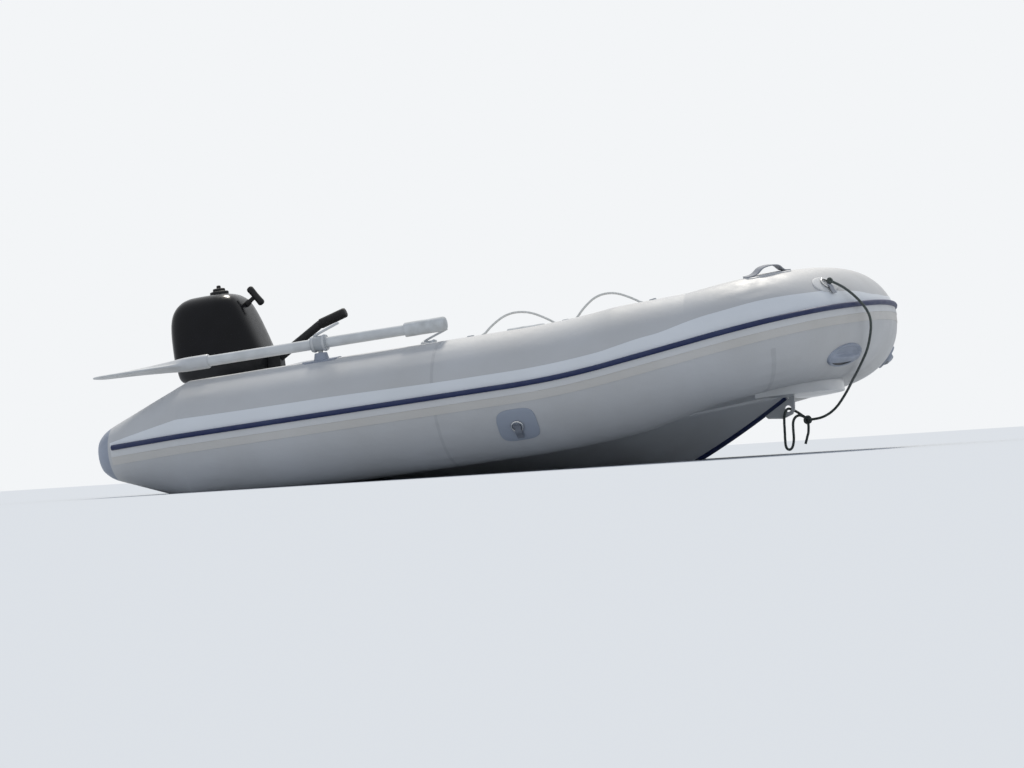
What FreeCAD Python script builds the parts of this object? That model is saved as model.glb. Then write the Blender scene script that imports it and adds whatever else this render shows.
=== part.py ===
"""Rigid inflatable tender, 2.65 m long, with a small outboard motor on its transom.

All sizes are millimetres. The boat is drawn level: x runs forward from the transom's
after face, y to port, z up from the middle of the side tubes. At the end every solid is
turned bow up by the floating trim and moved, so that the origin lies on the waterline.
"""
import FreeCAD, Part
import math
import os

Vec = FreeCAD.Vector

# Floating position
TRIM_DEG = 4.5            # bow up, empty boat with its motor
FLOAT_X = 540.0           # centre of the waterplane, ahead of the transom
FLOAT_Z = -215.0          # water level there, below the middle of the tubes

# Inflated tube
SIDE_R = 210.0            # side tube radius
BOW_R = 187.0             # bow tube radius
END_R = 95.0              # tube radius where the tail cone meets its cap
HALF_SPAN = 580.0         # middle of a side tube from the boat's middle
TAIL_LENGTH = 300.0       # tail cone
TAIL_START = 30.0         # cone begins this far behind the transom
LEVEL_LENGTH = 1130.0     # straight level tube ahead of the transom
SHEER_R = 3000.0          # bend that lifts the bow
SHEER_DEG = 7.2
TAPER_LENGTH = 246.0      # side tube narrows to the bow tube
CORNER_R = 270.0          # plan bend at the shoulder of the bow
CORNER_DEG = 66.35
BOND = 0.3                # glue line between bonded pieces

# Tail caps
CAP_LENGTH = 50.0
CAP_END_R = 62.0

# Rubbing strake: a navy bead over two glued tapes
BEAD_HEIGHT = 19.0        # middle of the bead, above the middle of the tube
BEAD_HALF = 8.5
BEAD_DEPTH = 14.0
UPPER_TAPE_T = 3.6
LOWER_TAPE_T = 2.0
TAPE_STEP = -11.0         # the upper tape ends here
TAPE_LOW = -38.0          # lower edge of the lower tape
STRAKE_START = 20.0       # begins this far along the tail cone
CONE_STEPS = 6            # stretches in which the strake follows the cone

# Rigid hull
KEEL_Z = -345.0
KEEL_STRAIGHT = 1350.0    # level keel ahead of the transom
FOREFOOT_R = 400.0        # lower bend of the stem
FOREFOOT_DEG = 22.0
STEM_R = 2880.0           # long upper bend of the stem
STEM_SHORT = 2.2          # stem head, short of where the stem would meet the flange
HULL_TOP_AFT = -150.0     # under the cockpit floor
HULL_TOP_FORE = -88.0     # under the bow step
STEP_X = KEEL_STRAIGHT + 150.0   # after edge of the bow step
FLANGE_Z = -125.0         # underside of the bow flange
FLANGE_CORNER = (136.0, 315.0)   # ahead of the stem head, inside the side tube's middle
FLANGE_APEX = 191.0       # ahead of the stem head
CHINE_INSET = 115.0       # full chine, inside the middle of the side tube
FLANGE_INSET = 90.0       # full flange, inside the middle of the side tube
FLOOR_INSET = 110.0       # floor and transom run this far into the tubes before they are cut
STEP_INSET = 140.0
STEP_MARGIN = 20.0        # bow step, inside the edge of the flange
STATION_PITCH = 60.0
DECK_T = 12.0
BOW_STEP_T = 14.0
GUARD_HALF = 22.0
GUARD_T = 5.0

# Tow eye
EYE_T = 10.0
EYE_HOLE_R = 11.0
EYE_HOLE_BACK = 7.0       # behind the stem head
EYE_HOLE_DROP = 40.0      # under the flange

# Transom
TRANSOM_T = 35.0
TRANSOM_TOP = 80.0
TRANSOM_WING = 150.0
MOTOR_WELL_HALF = 170.0
WING_SLOPE = 60.0
PAD_HALF = 125.0
PAD_T = 8.0
PAD_DROP = 12.0           # pads end this far under the transom's top
PAD_LOW_INSIDE = -70.0
PAD_LOW_OUTSIDE = -140.0
DRAIN_Y = HALF_SPAN - 290.0
DRAIN_Z = -120.0
DRAIN_R = 16.0
KNEE_REACH = 150.0
KNEE_T = 18.0
KNEE_TOP = 120.0
KNEE_INSET = 180.0

# Thwart
THWART_X = 640.0
THWART_WIDTH = 230.0
THWART_T = 25.0
THWART_TOP = 155.0
THWART_OVERLAP = 30.0     # the board reaches this far past the tubes' inner faces
HOLDER_T = 26.0
HOLDER_REACH = 35.0       # holder, under the end of the board

# Oars
OARLOCK_X = 450.0
OAR_LIFT = 55.0           # middle of the oar above the tube
OAR_OUT = 20.0            # outboard of the tube's middle
OAR_R = 18.0
OAR_GRIP_END = 900.0
GRIP_LENGTH = 145.0
GRIP_R = 25.0
OAR_TIP = -370.0
BLADE_LENGTH = 420.0
BLADE_HALF = 72.0
BLADE_T = 12.0
OARLOCK_PIN_R = 8.0
RUNNING = 0.05            # radial clearance of turning pins

# Grab ropes
ROPE_R = 4.0

# Motor
TILT_X = -40.0
TILT_Z = 115.0
TILT_PIN_R = 8.0
CLAMP_INNER = 62.0
CLAMP_T = 10.0
SWIVEL_X = -95.0
SWIVEL_PIN_R = 13.0
SWIVEL_TUBE_R = 24.0
SWIVEL_LOW = -120.0
SWIVEL_HIGH = 100.0
YOKE_GAP = 6.0
YOKE_T = 24.0
LEG_FRONT = -126.0
LEG_CHORD = 100.0
LEG_HALF = 24.0
PAN_BOTTOM = 230.0
PAN_TOP = 300.0
COWL_WALL = 4.0
PLATE_Z = -355.0
PROP_Z = -460.0
GEAR_R = 32.0

# Ropes, rings and handles
PAINTER_R = 4.5
KNOT_R = 15.0
HITCH_R = 11.0
HITCH_ON_RING = (12.35, -0.26, 9.63)   # from the ring's middle: along, around, off the tube
ROPE_LIFT = 9.0           # middle of the grab rope above the tube in its anchors
SADDLE_HEIGHT = 18.0
PATCH_T = 3.0
RING_R = 19.0
RING_WIRE = 3.0
HANDLE_RUN = 2162.0
HANDLE_ANGLE = -46.0
HANDLE_HALF = 98.0
HANDLE_HALF_ACROSS = 44.0
POCKET_HALF = 56.0
POCKET_DEPTH = 42.0
STRAP_RUN = 2010.0
STRAP_ANGLE = 76.0
STRAP_RISE = 30.0
VALVE_RUN = 1250.0
VALVE_ANGLE = 140.0
# columns: run along the tube, angle up from outboard, half length, half width, corner
BOW_RING = (2116.0, 33.0, 56.0, 34.0, 30.0)
SIDE_RING = (1142.0, -32.0, 66.0, 60.0, 22.0)
LOCK_LOW_R = 30.0
LOCK_TOP_R = 21.0
LOCK_SINK = 15.0          # block starts this far inside the tube
LOCK_GAP = 14.0           # between the block's top and the oar
PIN_DEPTH = 19.0
PIN_FLOOR = 2.0
SOCKET_DEPTH = 70.0
SCREW_Z = 20.0
SCREW_R = 6.0
PLATE_T = 8.0
TORPEDO_TAIL = -246.0
HUB_R = 20.0
HUB_LENGTH = 62.0
SHAFT_R = 6.5
SKEG_Z = -568.0
FUEL_X = -111.0
# columns: radius, foot and top from the top of the cowl
CAP_RINGS = [(34.0, -22.0, 11.0), (23.0, 10.0, 22.0), (8.0, 21.0, 33.0)]
PULL_X = -6.0
PULL_DROP = 45.0          # seat of the starter's pull, under the top of the cowl
PULL_OUT = Vec(0.834, 0, 0.552)
PULL_NECK = 26.0
PULL_NECK_R = 8.0
PULL_HALF = 40.0
PULL_R = 13.0
TILLER_JOINT = Vec(250.0, 0, 372.0)
TILLER_TIP = Vec(352.0, 0, 400.0)
# columns: share of the reach forward, share of the half-width
CASING_PLAN = [(1.0, 0.0), (0.995, 0.38), (0.955, 0.64), (0.86, 0.80), (0.70, 0.905),
               (0.50, 0.972), (0.25, 1.0), (0.0, 0.995), (-0.25, 0.975), (-0.50, 0.94),
               (-0.72, 0.87), (-0.87, 0.75), (-0.955, 0.56), (-0.99, 0.32), (-1.0, 0.0)]
# columns: height above the pan's top, front, back, half-width
COWL_LEVELS = [(0.0, 51.0, -293.0, 141.0), (40.0, 39.5, -293.5, 141.2),
               (80.0, 27.0, -293.0, 140.8), (120.0, 13.5, -291.0, 139.5),
               (155.0, 0.5, -286.0, 136.0), (183.0, -11.0, -276.0, 129.0),
               (203.0, -23.0, -262.0, 117.0), (218.0, -38.0, -245.0, 100.0),
               (228.0, -56.0, -226.0, 78.0), (233.5, -80.0, -200.0, 50.0)]
PAN_LEVELS = [(0.0, 24.0, -262.0, 112.0), (8.0, 36.0, -278.0, 127.0),
              (26.0, 43.0, -286.0, 134.5), (50.0, 46.0, -288.5, 137.0),
              (70.0, 46.0, -288.5, 137.5)]
BLOCK_FRONT = -50.0
BLOCK_BACK = -225.0
BLOCK_HALF = 70.0
BLOCK_HEIGHT = 185.0
# columns: distance from the shaft, half chord, pitch from the disc's plane, half thickness
BLADE_SECTIONS = [(16.0, 26.0, 48.0, 4.0), (55.0, 36.0, 32.0, 3.0), (92.0, 17.0, 22.0, 1.5)]

# columns: run along the tube, height above its skin
GRAB_ROUTE = [
    (925.0, 9.0), (985.0, 9.0), (1022.0, 50.0), (1078.0, 84.0), (1150.0, 80.0),
    (1222.0, 42.0), (1265.0, 9.0), (1325.0, 9.0), (1362.0, 50.0), (1418.0, 84.0),
    (1486.0, 78.0), (1545.0, 42.0), (1585.0, 9.0), (1642.0, 9.0),
]
GRAB_ANGLE = 111.0
GRAB_ANCHORS = [950.0, 1295.0, 1615.0]

# The painter goes from its ring over the bow and down to the tow eye
PAINTER_ROUTE = [
    (2163.0, -421.0, 218.0), (2190.0, -394.0, 200.0), (2213.0, -372.0, 176.0),
    (2235.0, -358.0, 148.0), (2252.0, -343.0, 118.0), (2261.0, -326.0, 87.0),
    (2256.0, -311.0, 51.0), (2243.0, -300.0, 13.0), (2226.0, -288.0, -23.0),
    (2198.0, -262.0, -57.0), (2165.0, -204.0, -87.0), (2135.0, -132.0, -105.0),
    (2106.0, -64.0, -127.0), (2074.0, -27.0, -157.0), (2043.0, -10.0, -186.0),
    (2008.0, -2.0, -206.0), (1972.0, 0.0, -214.0), (1938.0, 1.0, -212.0),
]
LOOP_ROUTE = [
    (1934.0, 6.0, -207.0), (1914.0, 14.0, -190.0), (1894.0, 17.0, -174.0), (1879.0, 9.0, -165.0),
    (1873.0, -9.0, -166.0), (1864.0, -18.0, -182.0), (1860.0, -18.0, -208.0),
    (1857.0, -16.0, -240.0), (1853.0, -13.0, -272.0), (1852.0, -11.0, -297.0),
    (1864.0, -8.0, -306.0), (1876.0, -9.0, -296.0), (1884.0, -11.0, -270.0),
    (1886.0, -13.0, -238.0), (1890.0, -15.0, -208.0), (1904.0, -14.0, -193.0),
    (1922.0, -10.0, -194.0), (1936.0, -5.0, -207.0),
]
TAIL_ROUTE = [
    (1938.0, 0.0, -224.0), (1936.0, 2.0, -250.0), (1926.0, 3.0, -272.0), (1918.0, 3.0, -292.0),
]

# Places that follow from the sizes above
THWART_HALF = HALF_SPAN - SIDE_R + THWART_OVERLAP
FLOOR_HALF = HALF_SPAN - FLOOR_INSET
OAR_Y = HALF_SPAN + OAR_OUT
OAR_Z = SIDE_R + OAR_LIFT
LOCK_TOP = OAR_Z - OAR_R - LOCK_GAP
PIN_LOW = LOCK_TOP - PIN_DEPTH
COWL_TOP = PAN_TOP + COWL_LEVELS[-1][0]


def mirror(shape):
    """The same piece on the port side."""
    return shape.mirror(Vec(0, 0, 0), Vec(0, 1, 0))


def both(shape):
    return Part.makeCompound([shape, mirror(shape)])


def join(shapes):
    """One solid from pieces that share faces."""
    solid = shapes[0].fuse(shapes[1:]) if len(shapes) > 1 else shapes[0]
    solid = solid.removeSplitter()
    return solid.Solids[0] if len(solid.Solids) == 1 else solid


def box(x0, x1, y0, y1, z0, z1):
    return Part.makeBox(x1 - x0, y1 - y0, z1 - z0, Vec(x0, y0, z0))


def prism_y(points, half):
    """Side profile (x, z) extruded across the boat to both sides."""
    corners = [Vec(x, -half, z) for x, z in points]
    face = Part.Face(Part.makePolygon(corners + corners[:1]))
    return face.extrude(Vec(0, 2 * half, 0))


def prism_z(points, low, high):
    """Plan (x, y) extruded upward."""
    corners = [Vec(x, y, low) for x, y in points]
    face = Part.Face(Part.makePolygon(corners + corners[:1]))
    return face.extrude(Vec(0, 0, high - low))


def prism_x(points, x0, x1):
    """End view (y, z) extruded forward."""
    corners = [Vec(x0, y, z) for y, z in points]
    face = Part.Face(Part.makePolygon(corners + corners[:1]))
    return face.extrude(Vec(x1 - x0, 0, 0))


def rod(start, end, radius):
    return Part.makeCylinder(radius, (end - start).Length, start, end - start)


# The tube's middle line, starboard side, from the tail to the middle of the bow


class Place:
    """A point of the tube's middle line: t forward along it, n outboard, b up."""

    def __init__(self, origin, t, n, b, radius):
        self.origin, self.t, self.n, self.b, self.radius = origin, t, n, b, radius

    def at(self, out, up):
        return self.origin + self.n * out + self.b * up

    def skin(self, angle_deg, lift=0.0):
        """Point on the tube's skin, angle measured up from straight outboard."""
        angle = math.radians(angle_deg)
        reach = self.radius + lift
        return self.at(reach * math.cos(angle), reach * math.sin(angle))

    def normal(self, angle_deg):
        angle = math.radians(angle_deg)
        return self.n * math.cos(angle) + self.b * math.sin(angle)


NOSE_DEG = 90.0 - CORNER_DEG
NOSE_R = (HALF_SPAN - CORNER_R * (1 - math.cos(math.radians(CORNER_DEG)))) / math.sin(
    math.radians(NOSE_DEG))

# columns: kind, length or bend radius, bend angle, tube radius at start and end
SEGMENTS = [
    ("line", TAIL_LENGTH, 0.0, END_R, SIDE_R),
    ("line", TAIL_START + LEVEL_LENGTH, 0.0, SIDE_R, SIDE_R),
    ("rise", SHEER_R, SHEER_DEG, SIDE_R, SIDE_R),
    ("line", TAPER_LENGTH, 0.0, SIDE_R, BOW_R),
    ("turn", CORNER_R, CORNER_DEG, BOW_R, BOW_R),
    ("turn", NOSE_R, NOSE_DEG, BOW_R, BOW_R),
]


def advance(place, kind, size, angle, radius):
    """The place at the end of one segment that starts at the given place."""
    if kind == "line":
        return Place(place.origin + place.t * size, place.t, place.n, place.b, radius)
    axis = place.n if kind == "rise" else place.b
    centre = place.origin + (place.b * size if kind == "rise" else place.n * -size)
    turn = FreeCAD.Rotation(axis, angle)
    return Place(centre + turn.multVec(place.origin - centre), turn.multVec(place.t),
                 turn.multVec(place.n), turn.multVec(place.b), radius)


def segment_length(segment):
    kind, size, angle = segment[:3]
    return size if kind == "line" else size * math.radians(angle)


def walk():
    """Start place, segment and run for each segment, with runs from the transom."""
    place = Place(Vec(-TAIL_START - TAIL_LENGTH, -HALF_SPAN, 0), Vec(1, 0, 0),
                  Vec(0, -1, 0), Vec(0, 0, 1), END_R)
    run = -TAIL_START - TAIL_LENGTH
    steps = []
    for segment in SEGMENTS:
        steps.append((run, place, segment))
        run += segment_length(segment)
        place = advance(place, segment[0], segment[1], segment[2], segment[4])
    return steps, run


STEPS, RUN_END = walk()
RUN_TAIL = STEPS[0][0]
RUN_BOW = STEPS[4][0]


def place_at(run):
    """The place at a distance along the tube's middle line, from the transom."""
    for start, place, (kind, size, angle, r0, r1) in reversed(STEPS):
        if run >= start or start == RUN_TAIL:
            length = segment_length((kind, size, angle))
            share = (run - start) / length
            step = run - start if kind == "line" else size
            return advance(place, kind, step, angle * share, r0 + (r1 - r0) * share)


def sweep(outline, run0, run1):
    """Solid of a cross-section carried along the tube. outline(place) gives its wire."""
    solids = []
    for start, _, (kind, size, angle, _, _) in STEPS:
        low = max(run0, start)
        high = min(run1, start + segment_length((kind, size, angle)))
        if high - low < 1e-6:
            continue
        first = place_at(low + 1e-9) if low > start else place_at(low)
        wire = outline(first)
        if kind == "line":
            solids.append(Part.makeLoft([wire, outline(end_of(low, high, kind))], True, True))
            continue
        axis = first.n if kind == "rise" else first.b
        side = first.b * size if kind == "rise" else first.n * -size
        degrees = math.degrees((high - low) / size)
        solids.append(Part.Face(wire).revolve(first.origin + side, axis, degrees))
    return solids


def end_of(low, high, kind):
    """The place at the far end of a straight stretch, still in its own segment."""
    for start, place, (kind_, size, angle, r0, r1) in STEPS:
        length = segment_length((kind_, size, angle))
        if kind_ == kind and start - 1e-6 <= low and high <= start + length + 1e-6:
            share = (high - start) / length
            return advance(place, kind, high - start, 0.0, r0 + (r1 - r0) * share)


def circle(grow):
    def outline(place):
        ring = Part.Circle(place.origin, place.t, place.radius + grow)
        return Part.Wire(ring.toShape())
    return outline


def side_tube(grow=0.0, stop=RUN_BOW):
    return join(sweep(circle(grow), RUN_TAIL, stop))


def bow_tube(grow=0.0):
    half = join(sweep(circle(grow), RUN_BOW, RUN_END))
    return join([half, mirror(half)])


def tail_cap():
    """Moulded end cap that closes the cone, with a rounded rim."""
    x = -TAIL_START - TAIL_LENGTH
    rim = CAP_LENGTH * 0.5
    edges = [
        Part.LineSegment(Vec(x, -HALF_SPAN, 0), Vec(x, -HALF_SPAN + END_R, 0)),
        Part.Arc(Vec(x, -HALF_SPAN + END_R, 0), Vec(x - rim, -HALF_SPAN + END_R - 12.0, 0),
                 Vec(x - CAP_LENGTH, -HALF_SPAN + CAP_END_R, 0)),
        Part.LineSegment(Vec(x - CAP_LENGTH, -HALF_SPAN + CAP_END_R, 0),
                         Vec(x - CAP_LENGTH, -HALF_SPAN, 0)),
        Part.LineSegment(Vec(x - CAP_LENGTH, -HALF_SPAN, 0), Vec(x, -HALF_SPAN, 0)),
    ]
    face = Part.Face(Part.Wire([edge.toShape() for edge in edges]))
    return face.revolve(Vec(x, -HALF_SPAN, 0), Vec(1, 0, 0), 360)


def strake_outline(place):
    """Section of the strake, its back against the tube: heights and how far it stands out."""
    high, low = BEAD_HEIGHT + BEAD_HALF, BEAD_HEIGHT - BEAD_HALF
    bead = [(BEAD_HEIGHT + share * BEAD_HALF, lift * BEAD_DEPTH)
            for share, lift in ((0.96, 0.57), (0.7, 0.82), (0.3, 0.97), (-0.3, 0.97),
                                (-0.7, 0.82), (-0.96, 0.57))]
    rows = [(high, BOND)] + bead + [(low, UPPER_TAPE_T), (TAPE_STEP, UPPER_TAPE_T),
                                    (TAPE_STEP, LOWER_TAPE_T), (TAPE_LOW, LOWER_TAPE_T),
                                    (TAPE_LOW, BOND)]

    def point(height, lift):
        return place.at(math.sqrt(place.radius ** 2 - height ** 2) + lift, height)

    world = [point(height, lift) for height, lift in rows]
    lines = [Part.LineSegment(a, b).toShape() for a, b in zip(world, world[1:])]
    back = Part.Arc(world[-1], point((high + TAPE_LOW) / 2, BOND), world[0]).toShape()
    return Part.Wire(lines + [back])


def strake():
    start, cone_end = RUN_TAIL + STRAKE_START, RUN_TAIL + TAIL_LENGTH
    stops = [start + (cone_end - start) * k / CONE_STEPS for k in range(CONE_STEPS + 1)]
    pieces = []
    for low, high in zip(stops, stops[1:] + [RUN_END]):
        pieces += sweep(strake_outline, low, high)
    half = join(pieces)
    return join([half, mirror(half)])


# Rigid hull, floor and transom


def stem_bends():
    """Where the lower bend ends, and the centre of the upper one."""
    first = math.radians(FOREFOOT_DEG)
    x = KEEL_STRAIGHT + FOREFOOT_R * math.sin(first)
    z = KEEL_Z + FOREFOOT_R * (1 - math.cos(first))
    return x, (x - STEM_R * math.sin(first), z + STEM_R * math.cos(first))


def keel_height(x):
    """Profile of the keel and stem: a level run and two tangent bends."""
    if x <= KEEL_STRAIGHT:
        return KEEL_Z
    bend_end, centre = stem_bends()
    if x <= bend_end:
        return KEEL_Z + FOREFOOT_R - math.sqrt(FOREFOOT_R ** 2 - (x - KEEL_STRAIGHT) ** 2)
    return centre[1] - math.sqrt(STEM_R ** 2 - (x - centre[0]) ** 2)


def stem_head():
    centre = stem_bends()[1]
    return centre[0] + math.sqrt(STEM_R ** 2 - (centre[1] - FLANGE_Z) ** 2) - STEM_SHORT


STEM_HEAD_X = stem_head()
STEM_RUN = STEM_HEAD_X - KEEL_STRAIGHT
EYE_HOLE = (STEM_HEAD_X - EYE_HOLE_BACK, FLANGE_Z - EYE_HOLE_DROP)
# columns: share of the stem's run ahead of the level keel, share of the full chine breadth,
# chine above the keel line, more inset of the flange
STATIONS = [
    (-0.412, 1.0, 147.0, 0.0), (0.0, 0.899, 159.0, 2.0), (0.1404, 0.834, 169.0, 4.0),
    (0.2809, 0.753, 180.0, 6.0), (0.4682, 0.613, 192.0, 12.0), (0.6555, 0.441, 202.0, 20.0),
    (0.8427, 0.241, 212.0, 32.0), (1.0, 0.0065, 220.0, 60.0),
]


def station_rows():
    """Rows of x, chine half-breadth, chine height and flange half-breadth."""
    rows = [(KEEL_STRAIGHT + share * STEM_RUN, (HALF_SPAN - CHINE_INSET) * breadth,
             KEEL_Z + rise, HALF_SPAN - FLANGE_INSET - inset)
            for share, breadth, rise, inset in STATIONS]
    return [(0.0,) + rows[0][1:]] + rows


def slope(rows, i, column):
    """Slope of a column at a row, level where its neighbours turn back or stay level."""
    if i in (0, len(rows) - 1):
        near = 0 if i == 0 else i - 1
        return (rows[near + 1][column] - rows[near][column]) / (rows[near + 1][0] - rows[near][0])
    before, at, after = rows[i - 1:i + 2]
    back = (at[column] - before[column]) / (at[0] - before[0])
    ahead = (after[column] - at[column]) / (after[0] - at[0])
    return 0.0 if back * ahead <= 0 else 2 * back * ahead / (back + ahead)


def station(x):
    """The hull's row at x, read smoothly between the rows of the table."""
    rows = station_rows()
    i = max([k for k in range(len(rows) - 1) if rows[k][0] <= x] or [0])
    start, end = rows[i], rows[i + 1]
    width = end[0] - start[0]
    s = (x - start[0]) / width
    values = [x]
    for column in (1, 2, 3):
        values.append((2 * s ** 3 - 3 * s ** 2 + 1) * start[column]
                      + (s ** 3 - 2 * s ** 2 + s) * width * slope(rows, i, column)
                      + (3 * s ** 2 - 2 * s ** 3) * end[column]
                      + (s ** 3 - s ** 2) * width * slope(rows, i + 1, column))
    return tuple(values)


def stations_between(low, high):
    """Rows from low to high: one stretch where the hull is straight, then a close pitch."""
    bend = station_rows()[1][0]
    first = min(max(low, bend), high)
    rows = [station(low)] if first > low else []
    count = max(int(math.ceil((high - first) / STATION_PITCH)), 1)
    return rows + [station(first + (high - first) * k / count) for k in range(count + 1)]


def hull_rows():
    """Rows of the hull behind the bow step, and those under it."""
    return stations_between(0.0, STEP_X), stations_between(STEP_X, STEM_HEAD_X)


def hull_section(x, chine_y, chine_z, flange_y, top):
    half = [(0.0, keel_height(x)), (chine_y, chine_z), (flange_y, chine_z + 2.0),
            (flange_y, top)]
    points = half + [(-y, z) for y, z in reversed(half[1:])]
    world = [Vec(x, y, z) for y, z in points]
    return Part.makePolygon(world + world[:1])


def hull_run(rows, top):
    return [Part.makeLoft([hull_section(*near, top), hull_section(*far, top)], True, True)
            for near, far in zip(rows, rows[1:])]


def flange_plan(inset):
    """Outline of the bow flange, and of the step that lies inside it."""
    edge = station_rows()[-1][3] - inset
    corner_x, corner_y = STEM_HEAD_X + FLANGE_CORNER[0] - inset, HALF_SPAN - FLANGE_CORNER[1] - inset
    apex = STEM_HEAD_X + FLANGE_APEX - 1.5 * inset
    return [(STEM_HEAD_X, -edge), (corner_x, -corner_y), (apex, 0), (corner_x, corner_y),
            (STEM_HEAD_X, edge)]


def hull(tubes):
    nose = prism_z(flange_plan(0.0), FLANGE_Z, HULL_TOP_FORE)
    aft, fore = hull_rows()
    body = join(hull_run(aft, HULL_TOP_AFT) + hull_run(fore, HULL_TOP_FORE) + [nose])
    return join([largest(body.cut(tubes))])


def largest(shape):
    return max(shape.Solids, key=lambda solid: solid.Volume)


def deck(tubes):
    plate = box(TRANSOM_T + BOND, STEP_X - BOND, -FLOOR_HALF, FLOOR_HALF, HULL_TOP_AFT,
                HULL_TOP_AFT + DECK_T)
    return largest(plate.cut(tubes))


def bow_step(tubes):
    edge = HALF_SPAN - STEP_INSET
    plan = [(STEP_X, -edge)] + flange_plan(STEP_MARGIN) + [(STEP_X, edge)]
    return largest(prism_z(plan, HULL_TOP_FORE, HULL_TOP_FORE + BOW_STEP_T).cut(tubes))


def keel_guard():
    """Tough strip along keel and stem, bent over the vee."""
    wires = []
    aft, fore = hull_rows()
    for x, chine_y, chine_z, _ in aft + fore[1:]:
        keel = keel_height(x)
        rise = min(GUARD_HALF / max(chine_y, GUARD_HALF), 1.0) * (chine_z - keel)
        low = [(-GUARD_HALF, keel + rise - BOND), (0, keel - BOND), (GUARD_HALF, keel + rise - BOND)]
        outer = [(y, z - GUARD_T) for y, z in reversed(low)]
        world = [Vec(x, y, z) for y, z in low + outer]
        wires.append(Part.makePolygon(world + world[:1]))
    return join([Part.makeLoft([near, far], True, True) for near, far in zip(wires, wires[1:])])


def tow_eye(others):
    """Fin with a shackle hole, welded to the stem under the flange."""
    x, z = STEM_HEAD_X, FLANGE_Z
    points = [(x - 94, z - 50), (x - 80, z - 65), (x - 28, z - 72), (x + 6, z - 61),
              (x + 15, z - 47), (x + 21, z - BOND), (x - 34, z - BOND)]
    fin = prism_y(points, EYE_T / 2)
    hole = Part.makeCylinder(EYE_HOLE_R, 2 * EYE_T, Vec(EYE_HOLE[0], -EYE_T, EYE_HOLE[1]),
                             Vec(0, 1, 0))
    return largest(fin.cut(hole).cut(others))


def transom(tubes):
    inner = MOTOR_WELL_HALF
    outer = MOTOR_WELL_HALF + WING_SLOPE
    low = HULL_TOP_AFT
    half = FLOOR_HALF
    points = [(-half, low), (half, low), (half, TRANSOM_WING), (outer, TRANSOM_WING),
              (inner, TRANSOM_TOP), (-inner, TRANSOM_TOP), (-outer, TRANSOM_WING),
              (-half, TRANSOM_WING)]
    return largest(prism_x(points, 0, TRANSOM_T).cut(tubes))


def motor_pads():
    """Wear plates for the clamps, on the transom's two faces."""
    high = TRANSOM_TOP - PAD_DROP
    front = box(TRANSOM_T, TRANSOM_T + PAD_T, -PAD_HALF, PAD_HALF, PAD_LOW_INSIDE, high)
    back = box(-PAD_T, 0, -PAD_HALF, PAD_HALF, PAD_LOW_OUTSIDE, high)
    return Part.makeCompound([front, back])


def drain_plug():
    body = rod(Vec(-14, DRAIN_Y, DRAIN_Z), Vec(0, DRAIN_Y, DRAIN_Z), DRAIN_R)
    wing = box(-26, -14, DRAIN_Y - 4, DRAIN_Y + 4, DRAIN_Z - 14, DRAIN_Z + 14)
    return join([body, wing])


def knees(tubes):
    """Moulded corner brackets that hold the transom to the tubes."""
    floor = HULL_TOP_AFT + DECK_T
    points = [(TRANSOM_T, floor), (TRANSOM_T + KNEE_REACH, floor), (TRANSOM_T, KNEE_TOP)]
    side = KNEE_INSET - HALF_SPAN
    face = Part.Face(Part.makePolygon([Vec(x, side, z) for x, z in points + points[:1]]))
    knee = face.extrude(Vec(0, KNEE_T, 0))
    return both(largest(knee.cut(tubes)))


def thwart():
    board = box(THWART_X - THWART_WIDTH / 2, THWART_X + THWART_WIDTH / 2, -THWART_HALF,
                THWART_HALF, THWART_TOP - THWART_T, THWART_TOP)
    edges = [edge for edge in board.Edges if abs(edge.tangentAt(0).y) > 0.9]
    return board.makeFillet(8.0, edges)


def thwart_holders(tubes):
    reach = THWART_WIDTH / 2 - 20
    low = THWART_TOP - THWART_T
    shelf = box(THWART_X - reach, THWART_X + reach, -THWART_HALF - 50,
                -THWART_HALF + HOLDER_REACH, low - HOLDER_T, low)
    return both(largest(shelf.cut(tubes)))


# Fittings on the tubes


def skin_patch(place, angle, half_along, half_around, corner, shell):
    """Flexible patch that follows the tube: a rounded outline cut from a thin shell."""
    normal = place.normal(angle)
    wire = rounded(place.skin(angle, -40.0), place.t, normal.cross(place.t), half_along,
                   half_around, corner)
    return largest(shell.common(Part.Face(wire).extrude(normal * 60.0)))


def rounded(centre, u, v, half_u, half_v, corner):
    """Rounded rectangle in the plane of u and v."""
    edges = []
    diag = corner * (1 - math.sqrt(0.5))
    corners = [(1, 1), (-1, 1), (-1, -1), (1, -1)]
    ends = []
    for su, sv in corners:
        a = centre + u * (su * half_u) + v * (sv * (half_v - corner))
        m = centre + u * (su * (half_u - diag)) + v * (sv * (half_v - diag))
        b = centre + u * (su * (half_u - corner)) + v * (sv * half_v)
        ends.append((a, m, b) if su * sv > 0 else (b, m, a))
    for i, (a, m, b) in enumerate(ends):
        edges.append(Part.Arc(a, m, b).toShape())
        nxt = ends[(i + 1) % 4][0]
        if (nxt - b).Length > 1e-6:
            edges.append(Part.LineSegment(b, nxt).toShape())
    return Part.Wire(Part.__sortEdges__(edges))


# Ropes


def bends_of(points):
    """Each bend of a rope is as wide as its two runs allow."""
    rows = []
    for before, corner, after in zip(points, points[1:], points[2:]):
        into, out = corner - before, after - corner
        turn = into.getAngle(out)
        reach = 0.45 * min(into.Length, out.Length)
        rows.append((corner, into.normalize(), out.normalize(), reach,
                     reach / math.tan(turn / 2), turn))
    return rows


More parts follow.
